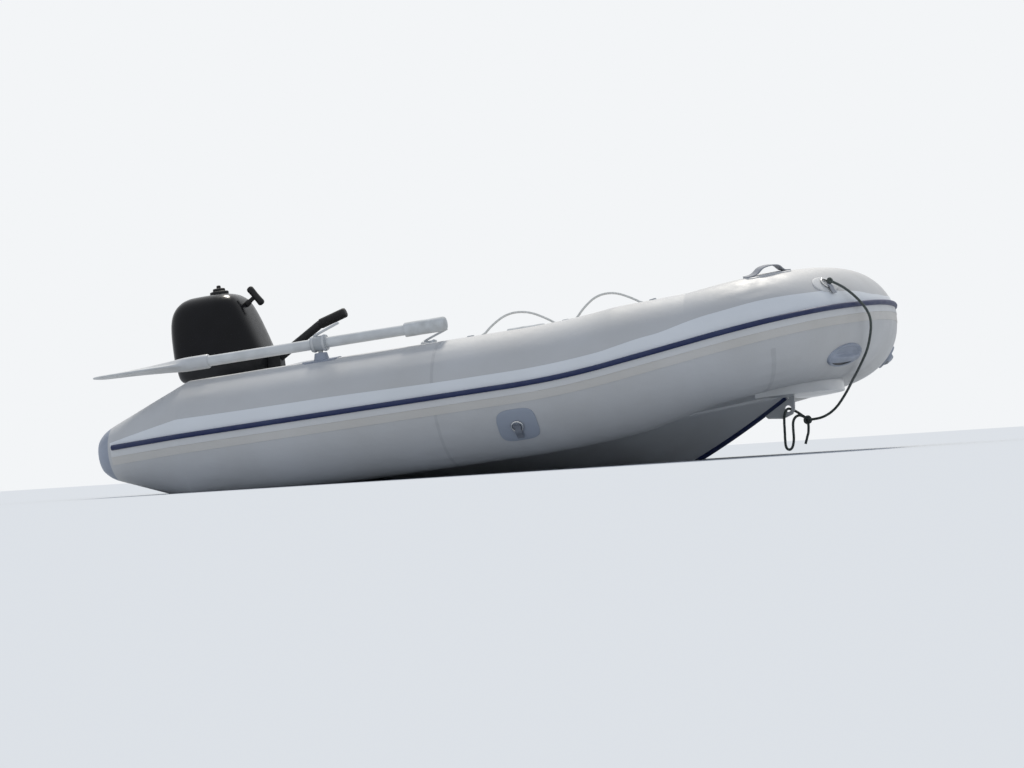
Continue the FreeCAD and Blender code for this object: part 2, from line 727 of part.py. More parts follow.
def rope(name, points, radius):
    """Round rope along straight runs joined by tangent arcs."""
    pieces = []
    start = points[0]
    radii = []
    for corner, into, out, reach, bend, turn in bends_of(points):
        enter = corner - into * reach
        axis = into.cross(out).normalize()
        centre = enter + axis.cross(into) * bend
        pieces.append(rod(start, enter, radius))
        disc = Part.Face(Part.Wire(Part.Circle(enter, into, radius).toShape()))
        pieces.append(disc.revolve(centre, axis, math.degrees(turn)))
        start = corner + out * reach
        radii.append(round(bend, 1))
    pieces.append(rod(start, points[-1], radius))
    solid = join(pieces)
    print(name, "bend radii", radii, "length", round(solid.Volume / (math.pi * radius ** 2), 1))
    return solid


def points_of(rows):
    return [Vec(*row) for row in rows]


def grab_rope(grow=0.0):
    """Rope held by three saddles, with two hand loops that stand above the tube."""
    places = [(place_at(run), lift) for run, lift in GRAB_ROUTE]
    return rope("grab rope", [place.skin(GRAB_ANGLE, lift) for place, lift in places],
                ROPE_R + grow)


def saddle(run, shell, tubes, rope_space):
    """Bonded patch with a raised eyelet that the grab rope passes through."""
    place = place_at(run)
    normal = place.normal(GRAB_ANGLE)
    patch = skin_patch(place, GRAB_ANGLE, 42.0, 30.0, 14.0, shell)
    across = normal.cross(place.t)
    wire = rounded(place.skin(GRAB_ANGLE, -20.0), place.t, across, 12.0, 14.0, 4.0)
    eyelet = Part.Face(wire).extrude(normal * (20.0 + SADDLE_HEIGHT))
    return largest(join([patch, largest(eyelet.cut(tubes))]).cut(rope_space))


def saddles(shell, tubes):
    rope_space = grab_rope(BOND)
    solids = [saddle(run, shell, tubes, rope_space) for run in GRAB_ANCHORS]
    return Part.makeCompound(solids + [mirror(solid) for solid in solids])


# Rings, handles and valves


def ring_lift():
    """Height of a ring's middle over the tube's skin."""
    return PATCH_T + RING_WIRE + 2 * BOND


def ring_and_patch(run, angle, half_along, half_around, corner, shell, tubes):
    """Bonded patch with a strap that holds a steel ring, lying on the patch."""
    place = place_at(run)
    normal = place.normal(angle)
    around = normal.cross(place.t)
    patch = skin_patch(place, angle, half_along, half_around, corner, shell)
    lift = ring_lift()
    centre = place.skin(angle, lift)
    ring = Part.makeTorus(RING_R, RING_WIRE, centre, normal)
    bar = rounded(place.skin(angle, -15.0) - around * RING_R, place.t, around, 11.0, 9.0, 3.0)
    strap = largest(Part.Face(bar).extrude(normal * (15.0 + lift + RING_WIRE + 3.0)).cut(tubes))
    strap = largest(join([patch, strap]).cut(Part.makeTorus(RING_R, RING_WIRE + BOND, centre,
                                                            normal)))
    return strap, ring


def lift_handle(place, angle, tubes):
    """Moulded oval grip: a domed shell with a finger pocket open along its lower edge."""
    normal = place.normal(angle)
    around = normal.cross(place.t)
    skin_point = place.skin(angle)
    base = place.skin(angle, -25.0)
    oval = Part.Ellipse(base + place.t * HANDLE_HALF, base + around * HANDLE_HALF_ACROSS, base)
    plate = Part.Face(Part.Wire(oval.toShape())).extrude(normal * (25.0 + 9.0))
    top = skin_point + normal * 9.0
    dome_low = Part.Wire(Part.Ellipse(top + place.t * (HANDLE_HALF - 12),
                                      top + around * (HANDLE_HALF_ACROSS - 8), top).toShape())
    cap = top + normal * 17.0
    dome_high = Part.Wire(Part.Ellipse(cap + place.t * (HANDLE_HALF - 45),
                                       cap + around * (HANDLE_HALF_ACROSS - 26), cap).toShape())
    dome = Part.makeLoft([dome_low, dome_high], True, True)
    body = join([plate, dome]).cut(tubes)
    pocket = Part.makeBox(2 * POCKET_HALF, POCKET_DEPTH, 14.0)
    pocket.Placement = FreeCAD.Placement(
        skin_point - place.t * POCKET_HALF + around * -(HANDLE_HALF_ACROSS + 4) + normal * 6.0,
        FreeCAD.Rotation(place.t, around, normal, "XYZ"))
    return largest(largest(body).cut(pocket))


def strap_handle(shell, tubes):
    """Carrying strap on the shoulder of the bow: two feet and a raised arch."""
    place = place_at(STRAP_RUN)
    normal = place.normal(STRAP_ANGLE)
    around = normal.cross(place.t)
    patch = skin_patch(place, STRAP_ANGLE, 85.0, 28.0, 20.0, shell)
    base = place.skin(STRAP_ANGLE, PATCH_T)
    top = STRAP_RISE
    outer = [(-68.0, -14.0), (-68.0, 4.0), (-34.0, top), (34.0, top), (68.0, 4.0), (68.0, -14.0)]
    inner = [(46.0, -14.0), (46.0, 0.0), (28.0, top - 5.0), (-28.0, top - 5.0), (-46.0, 0.0),
             (-46.0, -14.0)]
    world = [base + place.t * u + normal * v - around * 16.0 for u, v in outer + inner]
    arch = Part.Face(Part.makePolygon(world + world[:1])).extrude(around * 32.0)
    return largest(join([patch, arch]).cut(tubes))


def valve(run, angle, tubes):
    place = place_at(run)
    normal = place.normal(angle)
    inner = place.skin(angle, -20.0)
    flange = rod(inner, place.skin(angle, 4.0), 30.0).cut(tubes)
    cap = rod(place.skin(angle, 3.0), place.skin(angle, 11.0), 21.0)
    grip = rod(place.skin(angle, 10.0), place.skin(angle, 16.0), 9.0)
    return join([largest(flange), cap, grip])


# Oars


def oarlock(tubes, shell):
    """Rubber block on the tube with an upright hole for the oar's pin."""
    place = place_at(OARLOCK_X)
    out = OAR_Y - HALF_SPAN
    angle = math.degrees(math.acos(out / SIDE_R))
    patch = skin_patch(place, angle, 62.0, 45.0, 24.0, shell)
    foot = SIDE_R - LOCK_SINK
    block = Part.makeCone(LOCK_LOW_R, LOCK_TOP_R, LOCK_TOP - foot, Vec(OARLOCK_X, -OAR_Y, foot))
    body = join([patch, largest(block.cut(tubes))])
    hole = Part.makeCylinder(OARLOCK_PIN_R + RUNNING, 2 * PIN_DEPTH,
                             Vec(OARLOCK_X, -OAR_Y, PIN_LOW - PIN_FLOOR))
    return largest(body.cut(hole))


def oar_collar():
    """Clip round the oar with the pin that turns in the oarlock."""
    ring = rod(Vec(OARLOCK_X - 27, -OAR_Y, OAR_Z), Vec(OARLOCK_X + 27, -OAR_Y, OAR_Z), OAR_R + 8)
    pin = Part.makeCylinder(OARLOCK_PIN_R, OAR_Z - PIN_LOW, Vec(OARLOCK_X, -OAR_Y, PIN_LOW))
    bore = rod(Vec(OARLOCK_X - 60, -OAR_Y, OAR_Z), Vec(OARLOCK_X + 60, -OAR_Y, OAR_Z),
               OAR_R + BOND)
    return largest(join([ring, pin]).cut(bore))


def oar_shaft():
    start = OAR_TIP + BLADE_LENGTH - SOCKET_DEPTH
    return rod(Vec(start, -OAR_Y, OAR_Z), Vec(OAR_GRIP_END - 12, -OAR_Y, OAR_Z), OAR_R)


def oar_grip():
    end = Vec(OAR_GRIP_END, -OAR_Y, OAR_Z)
    start = Vec(OAR_GRIP_END - GRIP_LENGTH, -OAR_Y, OAR_Z)
    body = rod(start, end, GRIP_R)
    rims = [edge for edge in body.Edges if edge.Curve.TypeId == "Part::GeomCircle"]
    body = body.makeFillet(6.0, rims)
    return largest(body.cut(rod(start - Vec(1, 0, 0), end - Vec(12 - BOND, 0, 0), OAR_R + BOND)))


def oar_blade():
    """Moulded blade with rounded tip and a socket for the shaft."""
    tip, root = OAR_TIP, OAR_TIP + BLADE_LENGTH
    y = -OAR_Y
    half = BLADE_HALF
    neck = OAR_R + 6
    z = OAR_Z - BLADE_T / 2
    edges = [
        Part.LineSegment(Vec(root - 110, y + neck, z), Vec(tip + 190, y + half, z)),
        Part.LineSegment(Vec(tip + 190, y + half, z), Vec(tip + 45, y + half - 4, z)),
        Part.Arc(Vec(tip + 45, y + half - 4, z), Vec(tip, y, z), Vec(tip + 45, y - half + 4, z)),
        Part.LineSegment(Vec(tip + 45, y - half + 4, z), Vec(tip + 190, y - half, z)),
        Part.LineSegment(Vec(tip + 190, y - half, z), Vec(root - 110, y - neck, z)),
        Part.LineSegment(Vec(root - 110, y - neck, z), Vec(root - 110, y + neck, z)),
    ]
    face = Part.Face(Part.Wire([edge.toShape() for edge in edges]))
    blade = face.extrude(Vec(0, 0, BLADE_T))
    spine = Part.makeCone(9.0, neck, BLADE_LENGTH - 130, Vec(tip + 60, y, OAR_Z), Vec(1, 0, 0))
    socket = rod(Vec(root - 72, y, OAR_Z), Vec(root, y, OAR_Z), neck)
    body = join([blade, spine, socket])
    return largest(body.cut(rod(Vec(root - SOCKET_DEPTH - BOND, y, OAR_Z), Vec(root + 1, y, OAR_Z),
                                OAR_R + BOND)))


# Outboard motor


def clamp_bracket():
    """Hook over the transom: two cheeks, cross ties and the tilt pin."""
    back = -PAD_T - BOND
    top = TRANSOM_TOP + BOND
    cheek = [(back, -150.0), (back, top), (66.0, top), (66.0, -15.0), (82.0, -15.0), (82.0, 98.0),
             (-15.0, 136.0), (-60.0, 136.0), (-60.0, 98.0), (-28.0, 60.0), (-28.0, -150.0)]
    plate = prism_y(cheek, CLAMP_T / 2)
    offset = CLAMP_INNER + CLAMP_T / 2
    cheeks = []
    for side in (-1, 1):
        moved = plate.copy()
        moved.translate(Vec(0, side * offset, 0))
        cheeks.append(moved)
    ties = [box(-28, back, -CLAMP_INNER, CLAMP_INNER, -150, -128),
            box(0, 60, -CLAMP_INNER, CLAMP_INNER, top, top + 16)]
    bosses = [box(66, 82, side * offset - 20, side * offset + 20, -15, 52) for side in (-1, 1)]
    pin = rod(Vec(TILT_X, -CLAMP_INNER - CLAMP_T - 8, TILT_Z),
              Vec(TILT_X, CLAMP_INNER + CLAMP_T + 8, TILT_Z), TILT_PIN_R)
    body = join(cheeks + ties + bosses + [pin])
    for side in (-1, 1):
        body = body.cut(rod(Vec(60, side * offset, SCREW_Z), Vec(90, side * offset, SCREW_Z),
                            SCREW_R + BOND))
    return largest(body)


def clamp_screws():
    offset = CLAMP_INNER + CLAMP_T / 2
    screws = []
    for side in (-1, 1):
        start = Vec(TRANSOM_T + PAD_T, side * offset, SCREW_Z)
        foot = rod(start, start + Vec(7, 0, 0), 17.0)
        stem = rod(start, start + Vec(84, 0, 0), SCREW_R)
        bar = rod(start + Vec(80, -32, 0), start + Vec(80, 32, 0), 5.0)
        screws.append(join([foot, stem, bar]))
    return Part.makeCompound(screws)


def swivel_bracket():
    """Tilts on the clamp's pin and carries the upright steering tube."""
    web = [(SWIVEL_X + 3, -100.0), (SWIVEL_X + 3, 98.0), (-60.0, 98.0), (-50.0, 112.0),
           (-34.0, 106.0), (-46.0, 60.0), (-46.0, -100.0)]
    barrel = rod(Vec(TILT_X, -CLAMP_INNER + 1, TILT_Z), Vec(TILT_X, CLAMP_INNER - 1, TILT_Z),
                 TILT_PIN_R + 9)
    tube = Part.makeCylinder(SWIVEL_TUBE_R, SWIVEL_HIGH - SWIVEL_LOW,
                             Vec(SWIVEL_X, 0, SWIVEL_LOW))
    body = join([prism_y(web, 30.0), barrel, tube])
    bore = Part.makeCylinder(SWIVEL_PIN_R + RUNNING, SWIVEL_HIGH - SWIVEL_LOW + 2,
                             Vec(SWIVEL_X, 0, SWIVEL_LOW - 1))
    hole = rod(Vec(TILT_X, -CLAMP_INNER, TILT_Z), Vec(TILT_X, CLAMP_INNER, TILT_Z),
               TILT_PIN_R + RUNNING)
    return largest(body.cut([bore, hole]))


def leg_section(z, front, back, half):
    """Streamlined section of the leg, from two arcs."""
    bulge = front + 0.4 * (back - front)
    a = Vec(front, 0, z)
    b = Vec(back, 0, z)
    return Part.Wire([Part.Arc(a, Vec(bulge, half, z), b).toShape(),
                      Part.Arc(b, Vec(bulge, -half, z), a).toShape()])


def motor_leg():
    """Steering pin with its two yokes, and the drive leg behind it."""
    low = SWIVEL_LOW - YOKE_GAP
    high = SWIVEL_HIGH + YOKE_GAP
    back = LEG_FRONT - LEG_CHORD
    pieces = [Part.makeCylinder(SWIVEL_PIN_R, high - low + 2, Vec(SWIVEL_X, 0, low - 1))]
    for z in (low - YOKE_T, high):
        pieces.append(Part.makeCylinder(28.0, YOKE_T, Vec(SWIVEL_X, 0, z)))
        pieces.append(box(LEG_FRONT - 40, SWIVEL_X, -24, 24, z, z + YOKE_T))
    shank_low = leg_section(PLATE_Z + PLATE_T, LEG_FRONT - 4, back + 4, LEG_HALF - 4)
    shank_high = leg_section(140.0, LEG_FRONT, back, LEG_HALF)
    neck = leg_section(PAN_BOTTOM, -15.0, -262.0, 84.0)
    pieces.append(Part.makeLoft([shank_low, shank_high], True, True))
    pieces.append(Part.makeLoft([shank_high, neck], True, True))
    return join(pieces)


def gearcase():
    """Anti-ventilation plate, torpedo with propeller shaft, and skeg."""
    back = LEG_FRONT - LEG_CHORD
    plan = [(-112.0, -12.0), (-170.0, -56.0), (-318.0, -66.0), (-318.0, 66.0), (-170.0, 56.0),
            (-112.0, 12.0)]
    plate = prism_z(plan, PLATE_Z, PLATE_Z + PLATE_T)
    strut = Part.makeLoft([leg_section(PLATE_Z, LEG_FRONT - 2, back - 2, LEG_HALF - 6),
                           leg_section(PROP_Z, LEG_FRONT + 12, back + 4, LEG_HALF - 8)],
                          True, True)
    nose, tail = LEG_FRONT + 42.0, TORPEDO_TAIL
    edges = [
        Part.Arc(Vec(nose, 0, PROP_Z), Vec(nose - 18, 0, PROP_Z + 22),
                 Vec(nose - 55, 0, PROP_Z + GEAR_R)),
        Part.LineSegment(Vec(nose - 55, 0, PROP_Z + GEAR_R), Vec(tail + 40, 0, PROP_Z + GEAR_R)),
        Part.LineSegment(Vec(tail + 40, 0, PROP_Z + GEAR_R), Vec(tail, 0, PROP_Z + HUB_R)),
        Part.LineSegment(Vec(tail, 0, PROP_Z + HUB_R), Vec(tail, 0, PROP_Z)),
        Part.LineSegment(Vec(tail, 0, PROP_Z), Vec(nose, 0, PROP_Z)),
    ]
    torpedo = Part.Face(Part.Wire([edge.toShape() for edge in edges])).revolve(
        Vec(nose, 0, PROP_Z), Vec(1, 0, 0), 360)
    skeg = prism_y([(-120.0, PROP_Z - 20), (-178.0, SKEG_Z + 12), (-236.0, SKEG_Z),
                    (-232.0, PROP_Z - 20)], 3.5)
    shaft = rod(Vec(tail + 2, 0, PROP_Z), Vec(tail - HUB_LENGTH - 14, 0, PROP_Z), SHAFT_R)
    nut = rod(Vec(tail - HUB_LENGTH - 3, 0, PROP_Z), Vec(tail - HUB_LENGTH - 14, 0, PROP_Z), 11.0)
    return join([plate, strut, torpedo, skeg, shaft, nut])


def propeller():
    """Hub and three pitched blades; each blade is a loft of three flat sections."""
    start = TORPEDO_TAIL - 2.0
    hub = Part.makeCone(HUB_R, HUB_R - 6, HUB_LENGTH - 3, Vec(start, 0, PROP_Z), Vec(-1, 0, 0))
    middle = start - HUB_LENGTH / 2
    wires = []
    for radius, half_chord, pitch, thickness in BLADE_SECTIONS:
        angle = math.radians(pitch)
        chord = Vec(math.sin(angle), math.cos(angle), 0)
        across = Vec(math.cos(angle), -math.sin(angle), 0)
        base = Vec(middle, 0, PROP_Z + radius)
        corners = [base + chord * half_chord, base + across * thickness,
                   base - chord * half_chord, base - across * thickness]
        wires.append(Part.makePolygon(corners + corners[:1]))
    blade = Part.makeLoft(wires, True, True)
    blades = []
    for turn in (0, 120, 240):
        copy = blade.copy()
        copy.rotate(Vec(middle, 0, PROP_Z), Vec(1, 0, 0), turn)
        blades.append(copy)
    body = join([hub] + blades)
    bore = rod(Vec(start + 5, 0, PROP_Z), Vec(start - HUB_LENGTH - 5, 0, PROP_Z),
               SHAFT_R + RUNNING)
    return largest(body.cut(bore))


def casing_wire(height, front, back, half):
    """One level of the motor's casing: the same smooth plan, scaled to its level."""
    middle, reach = (front + back) / 2, (front - back) / 2
    side = [Vec(middle + along * reach, across * half, height) for along, across in CASING_PLAN]
    ring = side + [Vec(p.x, -p.y, p.z) for p in reversed(side[1:-1])]
    curve = Part.BSplineCurve()
    curve.interpolate(Points=ring, PeriodicFlag=True)
    return Part.Wire(curve.toShape())


def cowl_body(inset, low):
    """Hood of the motor, lofted through its levels."""
    rows = [(PAN_TOP + height - inset, front - inset, back + inset, half - inset)
            for height, front, back, half in COWL_LEVELS[1:]]
    foot = COWL_LEVELS[0]
    rows.insert(0, (low, foot[1] - inset, foot[2] + inset, foot[3] - inset))
    return Part.makeLoft([casing_wire(*row) for row in rows], True, False)


def cowl():
    outer = cowl_body(0.0, PAN_TOP + BOND)
    inner = cowl_body(COWL_WALL, PAN_TOP - 1)
    return largest(outer.cut(inner))


def motor_pan():
    """Lower half of the motor's casing."""
    rows = [(PAN_BOTTOM + height, front, back, half) for height, front, back, half in PAN_LEVELS]
    return Part.makeLoft([casing_wire(*row) for row in rows], True, False)


def fuel_cap(hood):
    """Filler cap, its knob and its vent, one on the other."""
    rings = [rod(Vec(FUEL_X, 0, COWL_TOP + foot), Vec(FUEL_X, 0, COWL_TOP + top), radius)
             for radius, foot, top in CAP_RINGS]
    return largest(join(rings).cut(hood))


def starter_handle(hood):
    """Pull grip on a short neck at the hood's front shoulder."""
    seat = Vec(PULL_X, 0, COWL_TOP - PULL_DROP)
    along = Vec(PULL_OUT.z, 0, -PULL_OUT.x)
    neck = rod(seat - PULL_OUT * PULL_NECK, seat + PULL_OUT * PULL_NECK, PULL_NECK_R)
    middle = seat + PULL_OUT * (PULL_NECK + PULL_R - 3)
    grip = rod(middle - along * PULL_HALF, middle + along * PULL_HALF, PULL_R)
    rims = [edge for edge in grip.Edges if edge.Curve.TypeId == "Part::GeomCircle"]
    grip = grip.makeFillet(4.0, rims)
    return largest(join([neck, grip]).cut(hood))


def tiller_arm():
    base = box(20, 92, -24, 24, 242, 290)
    arm = rod(Vec(70, 0, 270), TILLER_JOINT, 15.0)
    return largest(join([base, arm]).cut([motor_pan(), tiller_grip()]))


def tiller_grip():
    body = rod(TILLER_JOINT, TILLER_TIP, 18.0)
    rims = [edge for edge in body.Edges if edge.Curve.TypeId == "Part::GeomCircle"]
    return body.makeFillet(4.0, rims)


def knot():
    """Bowline at the tow eye, as one lump that the rope's ends run into."""
    return Part.makeSphere(KNOT_R, Vec(*PAINTER_ROUTE[-1]))


def hitch(place, angle, tube):
    """Half hitches that tie the painter to its ring."""
    normal = place.normal(angle)
    ahead, around, off = HITCH_ON_RING
    middle = (place.skin(angle, ring_lift() + off) + place.t * ahead
              + normal.cross(place.t) * around)
    return largest(Part.makeSphere(HITCH_R, middle).cut(tube))


# Pieces


def build():
    side = side_tube()
    cut_side = side_tube(BOND)
    cut_bow = bow_tube(BOND)
    tubes = [cut_side, mirror(cut_side), cut_bow]
    parts = {}
    parts["tube_starboard"] = side
    parts["tube_port"] = mirror(side)
    parts["tube_bow"] = bow_tube()
    parts["tail_caps"] = both(tail_cap())
    parts["rub_strake"] = strake()
    parts["hull"] = hull(tubes)
    parts["deck"] = deck(tubes)
    parts["bow_step"] = bow_step(tubes)
    parts["keel_guard"] = keel_guard()
    parts["tow_eye"] = tow_eye([parts["hull"], parts["keel_guard"]])
    parts["transom"] = transom(tubes)
    parts["motor_pads"] = motor_pads()
    parts["drain_plug"] = drain_plug()
    parts["transom_knees"] = knees(tubes)
    parts["thwart"] = thwart()
    parts["thwart_holders"] = thwart_holders(tubes)
    shell_side = side_tube(BOND + PATCH_T).cut(cut_side)
    shell_bow = bow_tube(BOND + PATCH_T).cut(cut_bow)
    parts["grab_rope_starboard"] = grab_rope()
    parts["grab_rope_port"] = mirror(parts["grab_rope_starboard"])
    parts["grab_rope_saddles"] = saddles(shell_side, tubes)
    bow_patch, bow_ring = ring_and_patch(*BOW_RING, shell_bow, tubes)
    side_patch, side_ring = ring_and_patch(*SIDE_RING, shell_side, tubes)
    parts["bow_ring_patches"] = both(bow_patch)
    parts["side_ring_patches"] = both(side_patch)
    parts["rings"] = Part.makeCompound([bow_ring, mirror(bow_ring), side_ring,
                                        mirror(side_ring)])
    parts["lift_handles"] = both(lift_handle(place_at(HANDLE_RUN), HANDLE_ANGLE, tubes))
    parts["bow_straps"] = both(strap_handle(shell_bow, tubes))
    chambers = [valve(VALVE_RUN, VALVE_ANGLE, tubes)]
    chambers.append(mirror(chambers[0]))
    chambers.append(valve(RUN_END - 1.0, VALVE_ANGLE, tubes))
    parts["valves"] = Part.makeCompound(chambers)
    parts["oarlocks"] = both(oarlock(tubes, shell_side))
    for name, piece in (("shaft", oar_shaft()), ("collar", oar_collar()), ("grip", oar_grip()),
                        ("blade", oar_blade())):
        parts["oar_" + name + "_starboard"] = piece
        parts["oar_" + name + "_port"] = mirror(piece)
    parts["painter_rope"] = rope("painter", points_of(PAINTER_ROUTE), PAINTER_R)
    parts["painter_tail"] = rope("tail", points_of(TAIL_ROUTE), PAINTER_R)
    parts["painter_loop"] = rope("loop", points_of(LOOP_ROUTE), PAINTER_R)
    parts["painter_knot"] = knot()
    parts["painter_hitch"] = hitch(place_at(BOW_RING[0]), BOW_RING[1],
                                   bow_tube(PATCH_T + 2 * BOND))
    parts["clamp_bracket"] = clamp_bracket()
    parts["clamp_screws"] = clamp_screws()
    parts["swivel_bracket"] = swivel_bracket()
    parts["motor_leg"] = motor_leg()
    parts["gearcase"] = gearcase()
    parts["propeller"] = propeller()
    parts["motor_pan"] = motor_pan()
    parts["cowl"] = cowl()
    parts["engine_block"] = box(BLOCK_BACK, BLOCK_FRONT, -BLOCK_HALF, BLOCK_HALF, PAN_TOP,
                                PAN_TOP + BLOCK_HEIGHT)
    hood = cowl_body(0.0, PAN_TOP)
    parts["fuel_cap"] = fuel_cap(hood)
    parts["starter_handle"] = starter_handle(hood)
    parts["tiller_arm"] = tiller_arm()
    parts["tiller_grip"] = tiller_grip()
    return parts


def afloat(shape):
    """From the level drawing to the floating trim, with the origin on the waterline."""
    moved = shape.copy()
    moved.rotate(Vec(FLOAT_X, 0, FLOAT_Z), Vec(0, 1, 0), -TRIM_DEG)
    moved.translate(Vec(-FLOAT_X, 0, -FLOAT_Z))
    return moved


def main():
    os.makedirs("parts", exist_ok=True)
    for name, shape in build().items():
        solid = afloat(shape)
        print(name, "solids", len(solid.Solids), "valid", solid.isValid(),
              "litres", round(solid.Volume / 1e6, 3))
        solid.exportStep("parts/" + name + ".step")


main()
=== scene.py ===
# %% [markdown]
# # A small rigid inflatable boat, dressed over its CAD frame
# The real boat is two inflated side tubes joined by a bow tube, a rigid vee hull bonded
# between them, and a small outboard motor on the transom. The CAD solids are loaded as a fixed
# frame in metres, so every skin, rope and finish made here goes where the CAD says.

# %% Load the frame
import math

import bpy
from mathutils import Matrix, Vector, noise


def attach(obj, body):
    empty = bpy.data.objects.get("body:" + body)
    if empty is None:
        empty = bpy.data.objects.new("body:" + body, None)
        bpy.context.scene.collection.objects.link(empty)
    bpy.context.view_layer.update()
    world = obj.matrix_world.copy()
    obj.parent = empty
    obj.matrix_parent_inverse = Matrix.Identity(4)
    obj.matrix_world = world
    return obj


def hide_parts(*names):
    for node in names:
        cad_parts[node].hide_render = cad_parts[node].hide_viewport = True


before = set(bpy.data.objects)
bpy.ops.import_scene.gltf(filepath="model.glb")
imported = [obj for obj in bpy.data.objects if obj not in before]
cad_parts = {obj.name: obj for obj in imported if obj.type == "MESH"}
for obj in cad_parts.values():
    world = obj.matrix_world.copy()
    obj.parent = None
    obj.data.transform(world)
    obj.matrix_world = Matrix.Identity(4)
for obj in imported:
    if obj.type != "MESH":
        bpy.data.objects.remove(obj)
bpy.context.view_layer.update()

# %% [markdown]
# ## Level drawing and floating trim
# The boat was drawn level, with x forward from the transom and z up from the middle of the
# side tubes, and was then turned bow up by its trim. Points are easiest to think of on the
# level drawing, so one matrix turns them, once per piece, instead of tilting each number.

# %% From level to afloat
TRIM = math.radians(4.5)
FLOAT_POINT = Vector((0.540, 0.0, -0.215))
AFLOAT = Matrix.Rotation(-TRIM, 4, "Y") @ Matrix.Translation(-FLOAT_POINT)


def afloat(x, y, z):
    """A point of the level drawing, in metres, as it floats."""
    return AFLOAT @ Vector((x, y, z))


def turned_to_trim(direction):
    """A direction of the level drawing, as it points afloat."""
    return AFLOAT.to_3x3() @ direction


print("transom's middle afloat", [round(c, 3) for c in afloat(0, 0, 0)])

# %% [markdown]
# ## Camera
# The photograph was taken with a long lens from just above the water, a little ahead of the
# starboard beam, and the horizon leans a few degrees. A target point and a roll angle say that
# more clearly than three Euler angles, so the camera's matrix is built from them.

# %% Camera
eye = Vector((3.8088, -11.6125, 0.050))
target = Vector((0.357, 0.0, 0.3039))
roll = math.radians(-3.655)
lens_data = bpy.data.cameras.new("long_lens")
lens_data.lens = 122.5
lens_data.sensor_width = 36.0
camera = bpy.data.objects.new("camera", lens_data)
bpy.context.scene.collection.objects.link(camera)
ahead = (target - eye).normalized()
level = ahead.cross(Vector((0, 0, 1))).normalized()
over = level.cross(ahead)
right = level * math.cos(roll) + over * math.sin(roll)
up = right.cross(ahead)
camera.matrix_world = Matrix.Translation(eye) @ Matrix((right, up, -ahead)).transposed().to_4x4()
bpy.context.scene.camera = camera
print("camera", round((target - eye).length, 2), "m from its target")

# %% [markdown]
# ## Floor and light
# The floor lies at the waterline, in a pale colour that meets a sky of the same paleness. In the
# photograph the sun stands behind the boat, so the tops of the tubes are bright and the near
# side lies in the light of the sky. One wide sun from over the port side does the same, and an
# even sky fills the shade, so that a colour renders about as it is written.

# %% Colours written as on a colour card


def card(red, green, blue):
    """A screen colour from 0 to 255, as the linear values that nodes use."""
    return tuple(((c / 255 + 0.055) / 1.055) ** 2.4 if c > 10 else c / 3294.6
                 for c in (red, green, blue)) + (1.0,)


# %% Floor
FLOOR_HALF = 90.0
floor_mesh = bpy.data.meshes.new("floor")
corners = [(x * FLOOR_HALF, y * FLOOR_HALF, 0) for x, y in ((-1, -1), (1, -1), (1, 1), (-1, 1))]
floor_mesh.from_pydata(corners, [], [(0, 1, 2, 3)])
floor = bpy.data.objects.new("floor", floor_mesh)
bpy.context.scene.collection.objects.link(floor)
pale = bpy.data.materials.new("pale_floor")
pale.use_nodes = True
floor_shader = pale.node_tree.nodes["Principled BSDF"]
floor_shader.inputs["Base Color"].default_value = card(206, 209, 212)
floor_shader.inputs["Roughness"].default_value = 0.9
floor_shader.inputs["Specular IOR Level"].default_value = 0.0
floor_mesh.materials.append(pale)
print("floor", 2 * FLOOR_HALF, "m wide")

# %% [markdown]
# Two even lights share the sky. One fills the shade, and the brighter one is what the camera
# and shiny surfaces see, so that the background stays pale without more light on the boat. The
# Light Path node tells the rays apart.

# %% Sky
sky = bpy.data.worlds.new("even_sky")
bpy.context.scene.world = sky
sky.use_nodes = True
nodes, wires = sky.node_tree.nodes, sky.node_tree.links
fill = nodes["Background"]
backdrop = nodes.new("ShaderNodeBackground")
for light, colour, strength in ((fill, card(228, 237, 252), 0.70),
                                (backdrop, card(243, 245, 247), 1.0)):
    light.inputs["Color"].default_value = colour
    light.inputs["Strength"].default_value = strength
rays = nodes.new("ShaderNodeLightPath")
shown = rays.outputs["Is Camera Ray"]
for ray in ("Is Glossy Ray", "Is Transmission Ray"):
    either = nodes.new("ShaderNodeMath")
    either.operation = "MAXIMUM"
    wires.new(shown, either.inputs[0])
    wires.new(rays.outputs[ray], either.inputs[1])
    shown = either.outputs[0]
choose = nodes.new("ShaderNodeMixShader")
for start, socket in zip((shown, fill.outputs[0], backdrop.outputs[0]), choose.inputs):
    wires.new(start, socket)
wires.new(choose.outputs[0], nodes["World Output"].inputs["Surface"])
bpy.context.scene.view_settings.view_transform = "Standard"
print("sky", fill.inputs["Strength"].default_value)

# %% [markdown]
# The sun stands high behind the boat and is drawn wider than the real one, so that shadows get
# soft edges. A sun lamp lights everything from one direction, wherever it is placed.

# %% Sun
sun_data = bpy.data.lights.new("sun", "SUN")
sun_data.energy = 2.5
sun_data.color = card(255, 249, 238)[:3]
sun_data.angle = math.radians(9)
sun = bpy.data.objects.new("sun", sun_data)
bpy.context.scene.collection.objects.link(sun)
sun.rotation_euler = Vector((0.10, -0.62, -0.80)).to_track_quat("-Z", "Y").to_euler()
print("sun", sun_data.energy)

# %% [markdown]
# ## Finishes
# Every surface here is a real coating: rubberised cloth, gelcoat, rubber, paint, steel. A small
# class keeps the node work short. It makes the shader, adds textures at a size given in metres,
# and wires colour, roughness and relief, and each finish then says only what it looks like.

# %% The class behind each finish
ONE_WAVE = 0.31  # the scale at which a wave texture has one wave a unit


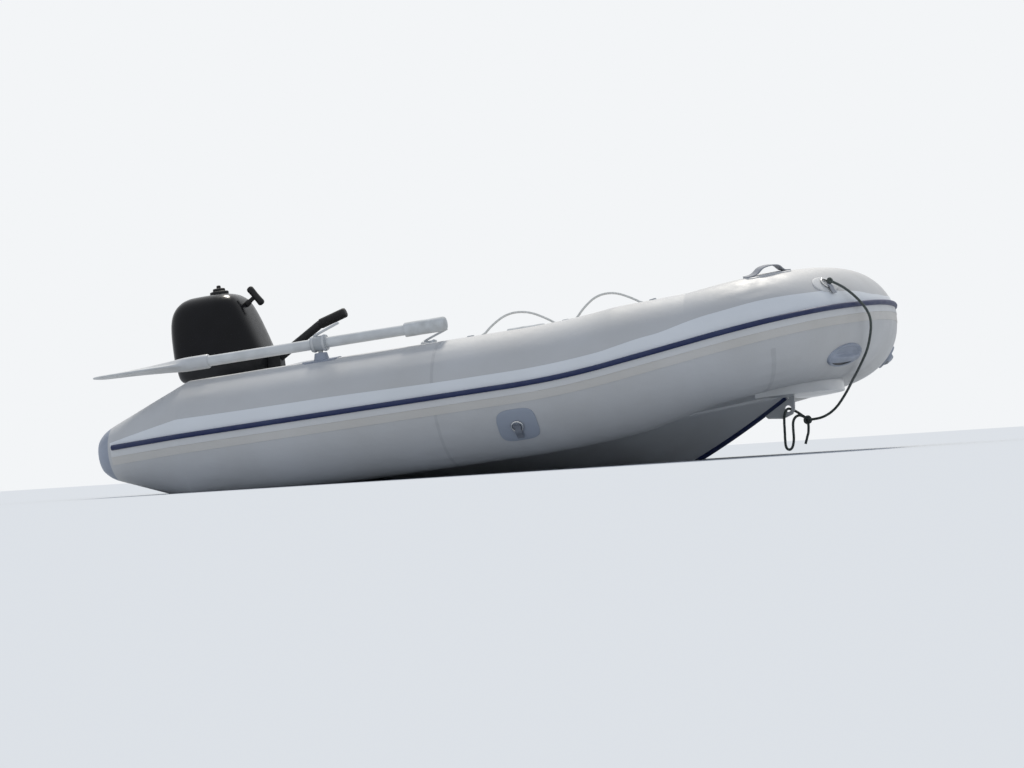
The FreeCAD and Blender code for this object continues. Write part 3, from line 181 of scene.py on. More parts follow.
class Finish:
    """One material, whose colour, roughness and relief are drawn by nodes."""

    def __init__(self, name, rough, metal=0.0, gloss=0.5, coat=0.0):
        self.material = bpy.data.materials.new(name)
        self.material.use_nodes = True
        self.tree = self.material.node_tree
        self.shader = self.tree.nodes["Principled BSDF"]
        for socket, value in (("Roughness", rough), ("Metallic", metal),
                              ("Specular IOR Level", gloss), ("Coat Weight", coat)):
            self.shader.inputs[socket].default_value = value
        self.place = self.tree.nodes.new("ShaderNodeTexCoord").outputs["Object"]

    def node(self, kind, sockets=(), **settings):
        """A node with some of its sockets and settings filled in."""
        made = self.tree.nodes.new("ShaderNode" + kind)
        for key, value in settings.items():
            setattr(made, key, value)
        for socket, value in dict(sockets).items():
            made.inputs[socket].default_value = value
        return made

    def wire(self, start, end):
        self.tree.links.new(start, end)

    def texture(self, kind, across, output, sockets, **settings):
        """A texture with its unit stretched to a size in metres along each axis."""
        made = self.node(kind, sockets, **settings)
        scale = self.node("Mapping", {"Scale": [1.0 / size for size in across]})
        self.wire(self.place, scale.inputs["Vector"])
        self.wire(scale.outputs[0], made.inputs["Vector"])
        return made.outputs[output]

    def clouds(self, size, detail=4.0):
        """Cloudy noise whose blotches are about the given size in metres."""
        return self.streaks((size, size, size), detail)

    def streaks(self, across, detail):
        """Noise drawn out along the axes."""
        return self.texture("TexNoise", across, "Fac", {"Scale": 1.0, "Detail": detail})

    def ribs(self, size, direction, waver):
        """Parallel ribs, one size apart."""
        return self.texture("TexWave", (size, size, size), "Fac",
                            {"Scale": ONE_WAVE, "Distortion": waver},
                            wave_type="BANDS", bands_direction=direction)

    def cells(self, size, randomness):
        """How far each point is from the middle of its cell, on cells of a size."""
        return self.texture("TexVoronoi", (size, size, size), "Distance",
                            {"Scale": 1.0, "Randomness": randomness})

    def threads(self, size):
        """Crossed threads of a woven cloth that shows through its coating."""
        crossed = self.node("Math", operation="MULTIPLY")
        for direction, socket in zip("XZ", crossed.inputs):
            self.wire(self.ribs(size, direction, 0.4), socket)
        return crossed.outputs[0]

    def between(self, value, low, high, to_low=0.0, to_high=1.0):
        """A value carried from one range to another, and held inside it."""
        carry = self.node("MapRange", {"From Min": low, "From Max": high,
                                       "To Min": to_low, "To Max": to_high})
        self.wire(value, carry.inputs["Value"])
        return carry.outputs["Result"]

    def blend(self, share, first, second):
        """A mix of two colours, each a card colour or the output of an earlier mix."""
        mix = self.node("Mix", data_type="RGBA")
        self.wire(share, mix.inputs[0])
        for socket, colour in ((mix.inputs[6], first), (mix.inputs[7], second)):
            if isinstance(colour, tuple):
                socket.default_value = colour
            else:
                self.wire(colour, socket)
        return mix.outputs[2]

    def colour(self, output):
        self.wire(output, self.shader.inputs["Base Color"])

    def roughness(self, output):
        self.wire(output, self.shader.inputs["Roughness"])

    def relief(self, height, depth):
        """Bumps of the given depth in metres, laid over those made before."""
        bump = self.node("Bump", {"Distance": depth, "Strength": 1.0})
        self.wire(height, bump.inputs["Height"])
        socket = self.shader.inputs["Normal"]
        if socket.is_linked:
            self.wire(socket.links[0].from_socket, bump.inputs["Normal"])
        self.wire(bump.outputs[0], socket)


# %% [markdown]
# The tubes are cloth coated with rubber. From a distance it is a satin grey with faint clouds
# of salt and sun, and close up the cloth's threads show through the coating. One function
# makes all its shades, so that skin, band and tapes differ only in colour.

# %% Coated boat cloth
THREAD = 0.0011


def boat_cloth(name, colour, worn, rough=0.5):
    cloth = Finish(name, rough, gloss=0.4)
    shade = cloth.blend(cloth.between(cloth.clouds(0.35, 5.0), 0.35, 0.7), colour, worn)
    specks = cloth.between(cloth.clouds(0.006, 3.0), 0.62, 0.74, 0.0, 0.35)
    cloth.colour(cloth.blend(specks, shade, worn))
    cloth.roughness(cloth.between(cloth.clouds(0.05), 0.3, 0.7, rough - 0.07, rough + 0.08))
    cloth.relief(cloth.threads(THREAD), 0.00006)
    cloth.relief(cloth.clouds(0.03, 3.0), 0.0006)
    return cloth.material


TUBE_CLOTH = boat_cloth("tube_cloth", card(187, 188, 189), card(177, 177, 176))
BAND_CLOTH = boat_cloth("band_cloth", card(217, 220, 223), card(209, 212, 214))
TAPE_CLOTH = boat_cloth("tape_cloth", card(203, 204, 204), card(196, 196, 195))
SEAM_CLOTH = boat_cloth("seam_cloth", card(178, 179, 180), card(168, 168, 168))
BEIGE_CLOTH = boat_cloth("beige_cloth", card(195, 193, 189), card(185, 182, 176))
PATCH_CLOTH = boat_cloth("patch_cloth", card(150, 157, 169), card(140, 147, 158))
print("cloth shades", sum(m.name.endswith("_cloth") for m in bpy.data.materials))

# %% [markdown]
# Moulded and painted parts need only a few habits: a plain colour with a slight mottle, a fine
# grain in the relief, and a roughness that varies as hands and weather leave it. The hull's
# gelcoat is smoother than that and clouds only in wide patches, and bare metal is drawn with
# fine marks along the boat.

# %% Moulded, painted and metal finishes


def moulding(name, colour, worn, rough=0.45, grain=0.0008, depth=0.00008, gloss=0.5, coat=0.0):
    """Plastic, rubber or paint with a fine grain and faint wear."""
    plain = Finish(name, rough, gloss=gloss, coat=coat)
    plain.colour(plain.blend(plain.between(plain.clouds(0.06, 5.0), 0.4, 0.72), colour, worn))
    plain.roughness(plain.between(plain.clouds(0.02), 0.3, 0.7, rough - 0.06, rough + 0.1))
    plain.relief(plain.clouds(grain, 2.0), depth)
    return plain.material


def brushed(name, colour, rough, along_it=0.02, across=0.0006):
    """Bright metal with fine marks drawn along the boat."""
    metal = Finish(name, rough, metal=1.0)
    lines = metal.streaks((along_it, across, across), 3.0)
    metal.colour(metal.blend(lines, colour, tuple(c * 0.8 for c in colour[:3]) + (1.0,)))
    metal.roughness(metal.between(lines, 0.3, 0.7, rough - 0.06, rough + 0.1))
    metal.relief(lines, 0.00003)
    return metal.material


def gelcoat(name, colour, chalked):
    """Moulded resin skin: smooth, with wide faint clouds where the sun has chalked it."""
    skin = Finish(name, 0.34, gloss=0.4, coat=0.15)
    clouds = skin.between(skin.clouds(0.30, 2.0), 0.35, 0.70)
    skin.colour(skin.blend(clouds, colour, chalked))
    skin.roughness(skin.between(clouds, 0.0, 1.0, 0.30, 0.42))
    skin.relief(skin.clouds(0.12, 1.0), 0.0003)
    return skin.material


GELCOAT = gelcoat("hull_gelcoat", card(198, 200, 202), card(186, 187, 187))
NAVY_RUBBER = moulding("navy_rubber", card(24, 36, 76), card(36, 48, 84), rough=0.48, gloss=0.35)
# Dark rubber of the motor's pads and drain plug, also used as painted shade in the handles'
# pockets.
DARK_RUBBER_AND_POCKET_SHADE = moulding("dark_rubber", card(66, 68, 72), card(78, 79, 82), rough=0.6)
BLACK_RUBBER = moulding("black_rubber", card(26, 26, 28), card(38, 38, 39), rough=0.55, gloss=0.3)
GREY_MOULDING = moulding("grey_moulding", card(146, 153, 166), card(132, 139, 152), rough=0.5)
OAR_PLASTIC = moulding("oar_plastic", card(196, 198, 199), card(184, 185, 185), rough=0.48)
CLIP_PLASTIC = moulding("clip_plastic", card(172, 176, 178), card(158, 161, 163), rough=0.35,
                        coat=0.2)
COWL_BLACK = moulding("cowl_black", card(9, 10, 15), card(14, 15, 20), rough=0.22,
                      grain=0.05, depth=0.0002, gloss=0.14, coat=0.04)
MOTOR_PAINT = moulding("motor_paint", card(22, 23, 26), card(32, 33, 36), rough=0.4, gloss=0.25)
CASTING = moulding("engine_casting", card(120, 121, 122), card(92, 92, 92), rough=0.6,
                   grain=0.002, depth=0.0004)
STEEL = brushed("bright_steel", card(205, 206, 207), 0.22)
print("finishes so far", len(bpy.data.materials))

# %% [markdown]
# ## Cords
# The painter is a dark braided rope, tied to the ring on the bow, led over the tube and down
# to the tow eye, where it passes through the hole, hangs in a bight and ends in a knot with a
# short tail. Rope bends smoothly, so each run is a NURBS spline through air, held by a few
# given points. The braid could be a texture, but it shows at the edge, so the rope
# is a mesh whose skin rises and falls where the strands cross.

# %% Routes on the level drawing, in metres
PAINTER_ROUTE = [
    (2.163, -0.421, 0.218), (2.190, -0.394, 0.200), (2.213, -0.372, 0.176),
    (2.235, -0.358, 0.148), (2.252, -0.343, 0.118), (2.261, -0.326, 0.087),
    (2.256, -0.311, 0.051), (2.243, -0.300, 0.013), (2.226, -0.288, -0.023),
    (2.198, -0.262, -0.057), (2.165, -0.204, -0.087), (2.135, -0.132, -0.105),
    (2.106, -0.064, -0.127), (2.074, -0.027, -0.157), (2.043, -0.010, -0.186),
    (2.008, -0.002, -0.206), (1.972, 0.000, -0.214), (1.938, 0.001, -0.212),
]
LOOP_ROUTE = [
    (1.934, 0.006, -0.207), (1.914, 0.014, -0.190), (1.894, 0.017, -0.174),
    (1.879, 0.009, -0.165), (1.873, -0.009, -0.166), (1.864, -0.018, -0.182),
    (1.860, -0.018, -0.208), (1.857, -0.016, -0.240), (1.853, -0.013, -0.272),
    (1.852, -0.011, -0.297), (1.864, -0.008, -0.306), (1.876, -0.009, -0.296),
    (1.884, -0.011, -0.270), (1.886, -0.013, -0.238), (1.890, -0.015, -0.208),
    (1.904, -0.014, -0.193), (1.922, -0.010, -0.194), (1.936, -0.005, -0.207),
]
TAIL_ROUTE = [
    (1.938, 0.000, -0.224), (1.936, 0.002, -0.250), (1.926, 0.003, -0.272),
    (1.918, 0.003, -0.292),
]
print("painter points", len(PAINTER_ROUTE), "loop points", len(LOOP_ROUTE))

# %% [markdown]
# A route has few points, and the rope between them has to bend smoothly. A curve object could
# carry a round bevel by itself, but a braid needs a skin of its own, so only the curve's line is
# read, and then divided into even steps.

# %% One smooth line through a route
HAIR = 1e-9


def smooth_line(name, route):
    """The points of a NURBS spline held by the route, as they lie afloat."""
    data = bpy.data.curves.new(name + "_line", "CURVE")
    data.dimensions = "3D"
    spline = data.splines.new("NURBS")
    spline.points.add(len(route) - 1)
    for point, place in zip(spline.points, route):
        point.co = (*afloat(*place), 1.0)
    spline.order_u = 3
    spline.use_endpoint_u = True
    spline.resolution_u = 24
    holder = bpy.data.objects.new(name + "_line", data)
    mesh = bpy.data.meshes.new_from_object(holder)
    line = [vertex.co.copy() for vertex in mesh.vertices]
    bpy.data.objects.remove(holder)
    bpy.data.meshes.remove(mesh)
    return line


def length_of(line):
    return sum((b - a).length for a, b in zip(line, line[1:]))


def evenly(line, step):
    """The same line with its points a given step apart."""
    whole = length_of(line)
    gap = whole / max(int(whole / step), 2)
    spaced, left = [line[0]], gap
    for start, end in zip(line, line[1:]):
        run = (end - start).length
        at = left
        while at <= run + HAIR:
            spaced.append(start.lerp(end, min(at / run, 1.0)))
            at += gap
        left = at - run
    if (spaced[-1] - line[-1]).length > gap * 0.5:
        spaced.append(line[-1])
    return spaced


# %% [markdown]
# Every skin in this file is made of rings of points, joined by four-sided faces. A few short
# functions hold that together, so that each piece has to give only its rings, its finish and
# the CAD node that it stands for.

# %% The shared makers of meshes


def new_piece(name, skin, material, slot, node=None, body="root", sharp=None):
    """A mesh object in place, riding on one body and standing for a CAD node if one is named."""
    mesh = bpy.data.meshes.new(name)
    points, faces = skin
    mesh.from_pydata([tuple(p) for p in points], [], faces)
    mesh.validate()
    mesh.polygons.foreach_set("use_smooth", [True] * len(mesh.polygons))
    if sharp:
        mesh.set_sharp_from_angle(angle=math.radians(sharp))
    mesh.materials.append(material)
    piece = bpy.data.objects.new(name, mesh)
    bpy.context.scene.collection.objects.link(piece)
    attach(piece, body)
    if node:
        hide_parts(node)
    return piece


def rings_to_faces(rings, around):
    """Four-sided faces between rings of points, and a face at each end."""
    faces = []
    for row in range(rings - 1):
        for k in range(around):
            a, b = row * around + k, row * around + (k + 1) % around
            faces.append((a, b, b + around, a + around))
    last = (rings - 1) * around
    return faces + [tuple(reversed(range(around))), tuple(range(last, last + around))]


def even_steps(low, high, count):
    """Numbers from low to high in equal steps, with both ends."""
    return [low + (high - low) * i / count for i in range(count + 1)]


def full_turn(count):
    """Angles of equal steps round a circle, in radians."""
    return [2 * math.pi * k / count for k in range(count)]


# %% [markdown]
# A braid is two families of strands that wind in opposite ways. Two waves round the rope, one
# leaning left and one right, give the height of each crossing, and the mesh is only a circle
# carried along the line with that height added to its radius.

# %% Braided rope


def braided(line, radius, around=18, strands=5, pitch=0.022, rise=0.112):
    """A rope's skin along a line, lifted where the strands of its braid cross."""
    points = []
    side = (line[1] - line[0]).orthogonal().normalized()
    walked = 0.0
    for i, centre in enumerate(line):
        heading = line[min(i + 1, len(line) - 1)] - line[max(i - 1, 0)]
        heading.normalize()
        side = (side - heading * side.dot(heading)).normalized()
        across = heading.cross(side)
        if i:
            walked += (centre - line[i - 1]).length
        lean = math.pi * walked / pitch
        for turn in full_turn(around):
            crown = max(abs(math.sin(strands / 2 * turn + lean)),
                        abs(math.sin(strands / 2 * turn - lean)))
            reach = radius * (1 - rise + rise * crown)
            points.append(centre + (side * math.cos(turn) + across * math.sin(turn)) * reach)
    return points, rings_to_faces(len(line), around)


def rope_finish(name, colour, fleck):
    """Braided yarn: a soft sheen, with flecks where the fibres are worn."""
    yarn = Finish(name, 0.8, gloss=0.25)
    yarn.shader.inputs["Sheen Weight"].default_value = 0.25
    yarn.colour(yarn.blend(yarn.between(yarn.clouds(0.004, 3.0), 0.42, 0.66), colour, fleck))
    yarn.relief(yarn.clouds(0.0009, 2.0), 0.0002)
    return yarn.material


PAINTER_YARN = rope_finish("painter_yarn", card(58, 66, 66), card(92, 98, 92))
GRAB_YARN = rope_finish("grab_yarn", card(222, 222, 218), card(196, 195, 188))

# %% [markdown]
# ### Painter, bight and tail
# The painter is made as three runs, since the knot divides it. Each follows its own route with
# the same braid.

# %% The three runs of the painter
PAINTER_R = 0.0045
ROPE_STEP = 0.0014
painter_runs = []
for name, route, far_end in (("painter_rope", PAINTER_ROUTE, "knot"),
                             ("painter_loop", LOOP_ROUTE, "knot"),
                             ("painter_tail", TAIL_ROUTE, "bare")):
    line = smooth_line(name, route)
    spaced = evenly(line, ROPE_STEP)
    rope = new_piece(name + "_braid", braided(spaced, PAINTER_R), PAINTER_YARN, "painter_green",
                     node=name)
    painter_runs.append((rope, line, spaced, far_end))
    print(name, "length", round(length_of(line), 4), "of", len(spaced), "rings")

# %% [markdown]
# ### Knot and hitch
# A bowline is three or four turns of rope drawn tight. Modelling each pass would hide most of
# it, so the lump is wound as one short rope on a ball of the CAD knot's size, which shows the
# turns and their hollows from every side.

# %% Wound knots
STEPS_A_TURN = 60
AXIS_SWING = 2.2
AXIS_LEAN = 0.35
WANDER = 0.45


def wound(name, centre, ball, strand, turns, tilt, node):
    """Turns of rope wound over a ball, each turn's axis leaning from the last."""
    line = []
    reach = ball - strand * 1.05
    for share in even_steps(0, 1, STEPS_A_TURN * turns):
        swing = 2 * math.pi * turns * share
        lean = tilt + AXIS_SWING * share
        axis = Vector((math.cos(lean), math.sin(lean), AXIS_LEAN)).normalized()
        u = axis.orthogonal().normalized()
        line.append(centre + (u * math.cos(swing) + axis.cross(u) * math.sin(swing)) * reach
                    + axis * reach * WANDER * math.sin(3 * math.pi * share))
    return new_piece(name, braided(evenly(line, ROPE_STEP), strand), PAINTER_YARN,
                     "painter_green", node=node)


knot = wound("painter_knot_turns", afloat(*PAINTER_ROUTE[-1]), ball=0.0148,
             strand=PAINTER_R * 0.95, turns=5, tilt=0.4, node="painter_knot")
hitch = wound("painter_hitch_turns", afloat(*PAINTER_ROUTE[0]), ball=0.0108,
              strand=PAINTER_R * 0.8, turns=3, tilt=1.2, node="painter_hitch")
print("knot faces", len(knot.data.polygons), "hitch faces", len(hitch.data.polygons))

# %% [markdown]
# Each run is then printed with the number of wound knots that sit on it.

for (rope, line, spaced, far_end), lumps in zip(painter_runs, ([hitch, knot], [], [])):
    print(rope.name, "declared with", len(lumps), "lumps")

# %% [markdown]
# ## The line that the whole boat follows
# A tube boat is drawn as one middle line per side: straight and level, then rising, then
# bending in at the shoulder and round the nose. Everything on the tubes is placed by its run
# along that line and its angle up from straight outboard, so the line comes before any skin.

# %% Middle line of the tube
HALF_SPAN = 0.580
TUBE_R = 0.210
BOW_R = 0.187
TAIL_R = 0.095
CORNER_R = 0.270
CORNER_DEG = 66.35
NOSE_DEG = 90 - CORNER_DEG
NOSE_R = ((HALF_SPAN - CORNER_R * (1 - math.cos(math.radians(CORNER_DEG))))
          / math.sin(math.radians(NOSE_DEG)))
# columns: kind, length or bend radius, bend angle, tube radius at its start and end
STRETCHES = [
    ("line", 0.300, 0.0, TAIL_R, TUBE_R),
    ("line", 1.160, 0.0, TUBE_R, TUBE_R),
    ("rise", 3.000, 7.2, TUBE_R, TUBE_R),
    ("line", 0.246, 0.0, TUBE_R, BOW_R),
    ("turn", CORNER_R, CORNER_DEG, BOW_R, BOW_R),
    ("turn", NOSE_R, NOSE_DEG, BOW_R, BOW_R),
]
RUN_TAIL = -0.330


class Place:
    """A point of the middle line: t forward along it, n outboard, b up."""

    def __init__(self, origin, t, n, b, radius):
        self.origin, self.t, self.n, self.b, self.radius = origin, t, n, b, radius

    def normal(self, angle):
        return self.n * math.cos(math.radians(angle)) + self.b * math.sin(math.radians(angle))

    def skin(self, angle, lift=0.0):
        return self.origin + self.normal(angle) * (self.radius + lift)


def stretch_length(kind, size, angle):
    return size if kind == "line" else size * math.radians(angle)


def onward(place, kind, size, angle, radius):
    """The place at the end of a stretch that starts at the given place."""
    if kind == "line":
        return Place(place.origin + place.t * size, place.t, place.n, place.b, radius)
    axis = place.n if kind == "rise" else place.b
    centre = place.origin + (place.b * size if kind == "rise" else place.n * -size)
    turn = Matrix.Rotation(math.radians(angle), 3, axis)
    return Place(centre + turn @ (place.origin - centre), turn @ place.t, turn @ place.n,
                 turn @ place.b, radius)


STARTS = []
here = Place(Vector((RUN_TAIL, -HALF_SPAN, 0)), Vector((1, 0, 0)), Vector((0, -1, 0)),
             Vector((0, 0, 1)), TAIL_R)
run = RUN_TAIL
for kind, size, angle, low, high in STRETCHES:
    STARTS.append((run, here, kind, size, angle, low, high))
    run += stretch_length(kind, size, angle)
    here = onward(here, kind, size, angle, high)
RUN_END = run
RUN_BOW = next(start[0] for start in STARTS if start[2] == "turn")


def place_at(run):
    """The place at a distance along the middle line, from the transom."""
    for start, place, kind, size, angle, low, high in reversed(STARTS):
        if run >= start or start == RUN_TAIL:
            share = (run - start) / stretch_length(kind, size, angle)
            return onward(place, kind, run - start if kind == "line" else size, angle * share,
                          low + (high - low) * share)


print("runs: bow tube from", round(RUN_BOW, 3), "nose at", round(RUN_END, 3))

# %% [markdown]
# ## Inflated tubes
# Air makes a tube round, but glued cloth never is quite: it puckers a little along each seam
# and lies in faint flats between them. A cylinder primitive would look machined, so the skin
# is a grid of points along the middle line, and each point is pushed in or out by a
# millimetre or less.

# %% The skin's unevenness
SEAM_RUNS = (0.06, 0.878, 1.910)
PUCKER_DEPTH = 0.0008
PUCKER_REACH = 0.035
PUCKERS_ROUND = 26
# columns: depth, waves a metre
SOFT_WAVES = [(0.0011, 3.1), (0.0006, 9.0)]


def unevenness(place, run, angle):
    """How far the cloth stands from a true tube, in metres."""
    at = place.skin(angle)
    out = sum(depth * noise.noise(at * waves) for depth, waves in SOFT_WAVES)
    for seam in SEAM_RUNS:
        near = math.exp(-abs(run - seam) / PUCKER_REACH)
        out += near * PUCKER_DEPTH * math.sin(math.radians(angle) * PUCKERS_ROUND + 3 * seam)
    return out


def cloth_point(run, angle, lift=0.0):
    """A point on the uneven cloth, or a lift above it."""
    place = place_at(run)
    return place.skin(angle, lift + unevenness(place, run, angle))


# %% Rings round the tube
RING_STEP = 0.010
POINTS_ROUND = 112


def tube_rings(run_from, run_to):
    """Rings of points round the tube, from one run to another."""
    count = round((run_to - run_from) / RING_STEP)
    return [[cloth_point(run, 360.0 * k / POINTS_ROUND) for k in range(POINTS_ROUND)]
            for run in even_steps(run_from, run_to, count)]


def from_rings(rings):
    """Points and faces of a closed skin, turned from the level drawing to the trim."""
    return [AFLOAT @ p for ring in rings for p in ring], rings_to_faces(len(rings), len(rings[0]))


def mirrored(points, faces):
    """The same skin on the other side of the boat."""
    return [Vector((p.x, -p.y, p.z)) for p in points], [tuple(reversed(f)) for f in faces]


def joined(*skins):
    """Several skins as one list of points and one of faces."""
    points, faces = [], []
    for more, theirs in skins:
        faces += [tuple(i + len(points) for i in face) for face in theirs]
        points += more
    return points, faces


# %% [markdown]
# The port side mirrors the starboard side. Some pieces are one object with both halves, and
# others are an object a side, so there is a function for each kind.

# %% Both sides of the boat


def both_sides(name, skin, material, slot, **more):
    """One piece made of a starboard skin and its mirror."""
    return new_piece(name, joined(skin, mirrored(*skin)), material, slot, **more)


def one_a_side(name, skin, material, slot, node=None, body="root", sharp=None):
    """A piece for each side, whose name goes in where a star stands."""
    return [new_piece(name.replace("*", side), half, material, slot,
                      node=node and node.replace("*", side), body=body.replace("*", side),
                      sharp=sharp)
            for side, half in (("starboard", skin), ("port", mirrored(*skin)))]


# %% Side tubes
for tube in one_a_side("tube_*_skin", from_rings(tube_rings(RUN_TAIL, RUN_BOW)), TUBE_CLOTH,
                       "tube_fabric", node="tube_*", sharp=50):
    print(tube.name, "faces", len(tube.data.polygons))

# %% [markdown]
# The bow tube is one closed skin from shoulder to shoulder. Its starboard half is made like a
# side tube, and the port half is its mirror read backwards, so that the two halves meet at the
# nose without a seam.

# %% Bow tube
half = tube_rings(RUN_BOW, RUN_END)
other_half = [[Vector((p.x, -p.y, p.z)) for p in ring] for ring in reversed(half[:-1])]
nose = [[Vector((p.x, 0.0, p.z)) for p in half[-1]]]
bow_skin = new_piece("tube_bow_skin", from_rings(half[:-1] + nose + other_half), TUBE_CLOTH,
                     "tube_fabric", node="tube_bow", sharp=50)
print("bow faces", len(bow_skin.data.polygons))

# %% [markdown]
# ### Bands, tapes and seams
# Strips of cloth are glued over the tube: a wide pale band above the rubbing strake, narrow
# tapes below it, and a tape over each joint of the cloth. Painting them on would lose their
# edges, which catch the light, so each strip is its own thin skin with a stepped edge.

# %% The makers of glued strips
STRIP_STEP = 0.012
STRIP_EDGE = 0.0006
EDGE_TUCK = -0.003
TAPE_ROWS = 5
TAPE_STEP_DEG = 3.0


def height_angle(place, height):
    """The angle at which the skin is a given height above the middle line."""
    return math.degrees(math.asin(height / place.radius))


def strip_along(run_from, low, high, lift, rows):
    """A strip along the tube to its nose, between two edges that give an angle at each place."""
    rings = []
    for run in even_steps(run_from, RUN_END, round((RUN_END - run_from) / STRIP_STEP)):
        place = place_at(run)
        bottom, top = low(run, place), high(run, place)
        edge = math.degrees(STRIP_EDGE / place.radius)
        rings.append([place.skin(bottom - edge, EDGE_TUCK)]
                     + [cloth_point(run, angle, lift) for angle in even_steps(bottom, top, rows)]
                     + [place.skin(top + edge, EDGE_TUCK)])
    return from_rings(rings)


def strip_around(run, width, low, high, lift):
    """A tape that goes round the tube over a joint, between two angles."""
    runs = even_steps(run - width / 2, run + width / 2, TAPE_ROWS)
    return from_rings([[place_at(runs[0]).skin(angle, EDGE_TUCK)]
                       + [cloth_point(at, angle, lift) for at in runs]
                       + [place_at(runs[-1]).skin(angle, EDGE_TUCK)]
                       for angle in even_steps(low, high, int((high - low) / TAPE_STEP_DEG))])


# %% [markdown]
# The pale band is about a hand's width over the strake. It widens where the tube bends in at
# the shoulder, and its upper edge comes down to the strake again round the nose. The tapes
# below the strake keep their height all along.

# %% Edges of the strips
BEAD_HEIGHT = 0.019
BEAD_HALF = 0.0085
# columns: run, angle of the band's upper edge
BAND_TOP = [(-0.33, 22.0), (0.42, 20.5), (1.0, 18.5), (1.45, 18.5), (1.635, 22.0), (1.81, 28.0),
            (1.90, 29.0), (2.07, 25.5), (2.22, 21.0), (2.38, 15.5), (2.50, 14.0)]


def eased(share):
    """A share from 0 to 1 that starts and ends gently."""
    return share * share * (3 - 2 * share)


def band_top(run, place):
    """The upper edge of the band, eased from row to row of its table."""
    for (r0, v0), (r1, v1) in zip(BAND_TOP, BAND_TOP[1:]):
        if run <= r1:
            return v0 + (v1 - v0) * eased((run - r0) / (r1 - r0))


def at_height(height):
    """An edge that keeps its height above the middle line."""
    return lambda run, place: height_angle(place, height)


# %% Pale band and tapes
# columns: piece, first run, lower edge, upper edge, height over the cloth, rows, cloth
STRIPS = [
    ("band_pale", -0.320, at_height(BEAD_HEIGHT + 0.004), band_top, 0.0012, 8, BAND_CLOTH),
    ("tape_below_strake", -0.318, at_height(-0.038), at_height(BEAD_HEIGHT), 0.0016, 4,
     BEIGE_CLOTH),
    ("tape_light", -0.316, at_height(-0.011), at_height(BEAD_HEIGHT), 0.0034, 3, TAPE_CLOTH),
]
for name, run_from, low, high, lift, rows, cloth in STRIPS:
    strip = both_sides(name, strip_along(run_from, low, high, lift, rows), cloth, "tube_fabric",
                       sharp=40)
    print(name, "faces", len(strip.data.polygons))

# %% [markdown]
# ### Rubbing strake
# The strake is extruded rubber, glued on in one length: a flat light foot with a navy bead
# that takes the knocks. Its section is the same all along, so it is one outline carried along
# the middle line, with its crest rounded by a few more points.

# %% Navy bead
BEAD_START = -0.310
# columns: height over the tube, share of the half width
BEAD_OUTLINE = [(0.0008, -1.0), (0.0080, -0.96), (0.0115, -0.70), (0.0135, -0.30), (0.0139, 0.0),
                (0.0135, 0.30), (0.0115, 0.70), (0.0080, 0.96), (0.0008, 1.0)]


def bead_ring(place):
    return [place.skin(height_angle(place, BEAD_HEIGHT + across * BEAD_HALF), lift)
            for lift, across in BEAD_OUTLINE]


bead_runs = even_steps(BEAD_START, RUN_END, int((RUN_END - BEAD_START) / STRIP_STEP))
bead = both_sides("strake_bead", from_rings([bead_ring(place_at(run)) for run in bead_runs]),
                  NAVY_RUBBER, "strake_rubber", node="rub_strake", sharp=50)
print("bead faces", len(bead.data.polygons))

# %% [markdown]
# The cloth is joined at a few runs, and a tape covers each joint. Only the stretches that are
# free of other fittings are drawn, as spans of angle round the tube.

# %% Tapes over the joints of the cloth
SEAM_WIDTH = 0.010
SEAM_LIFT = 0.0004
SEAM_SPANS = ((-80, 280), (-120, -22))
for run, (low, high) in zip(SEAM_RUNS[1:], SEAM_SPANS):
    seam = both_sides("seam_tape_%d" % round(run * 1000),
                      strip_around(run, SEAM_WIDTH, low, high, SEAM_LIFT), SEAM_CLOTH,
                      "tube_fabric", sharp=40)
    print(seam.name, "faces", len(seam.data.polygons))

# %% [markdown]
# ## Rigid hull
# The hull is moulded in one piece: a shallow vee that sharpens forward into a raked stem, with
# a chine along each side and a flange bonded under the tubes. Boat builders draw such a shape
# by its stations, so the skin is lofted through closely spaced stations whose numbers are read
# smoothly between the few that matter.

# %% Stations of the hull
KEEL_Z = -0.345
CHINE_TURN = 1.130
KEEL_STRAIGHT = 1.350
FOREFOOT_R = 0.400
FOREFOOT_DEG = 22.0
STEM_R = 2.880
STEM_HEAD = 1.884
# columns: run, chine half-breadth, chine height, flange half-breadth
HULL_STATIONS = [
    (0.000, 0.465, -0.198, 0.490), (CHINE_TURN, 0.465, -0.198, 0.490),
    (KEEL_STRAIGHT, 0.418, -0.186, 0.488), (1.425, 0.388, -0.176, 0.486),
    (1.500, 0.350, -0.165, 0.484), (1.600, 0.285, -0.153, 0.478),
    (1.700, 0.205, -0.143, 0.470), (1.800, 0.112, -0.133, 0.458),
    (STEM_HEAD, 0.003, -0.125, 0.430),
]


def keel_height(x):
    """Height of keel and stem: a level run, a short bend and a long one."""
    if x <= KEEL_STRAIGHT:
        return KEEL_Z
    bend = math.radians(FOREFOOT_DEG)
    bend_x = KEEL_STRAIGHT + FOREFOOT_R * math.sin(bend)
    bend_z = KEEL_Z + FOREFOOT_R * (1 - math.cos(bend))
    if x <= bend_x:
        return KEEL_Z + FOREFOOT_R - math.sqrt(FOREFOOT_R ** 2 - (x - KEEL_STRAIGHT) ** 2)
    centre_x = bend_x - STEM_R * math.sin(bend)
    centre_z = bend_z + STEM_R * math.cos(bend)
    return centre_z - math.sqrt(STEM_R ** 2 - (x - centre_x) ** 2)


def rate(start, end, column):
    return (end[column] - start[column]) / (end[0] - start[0])


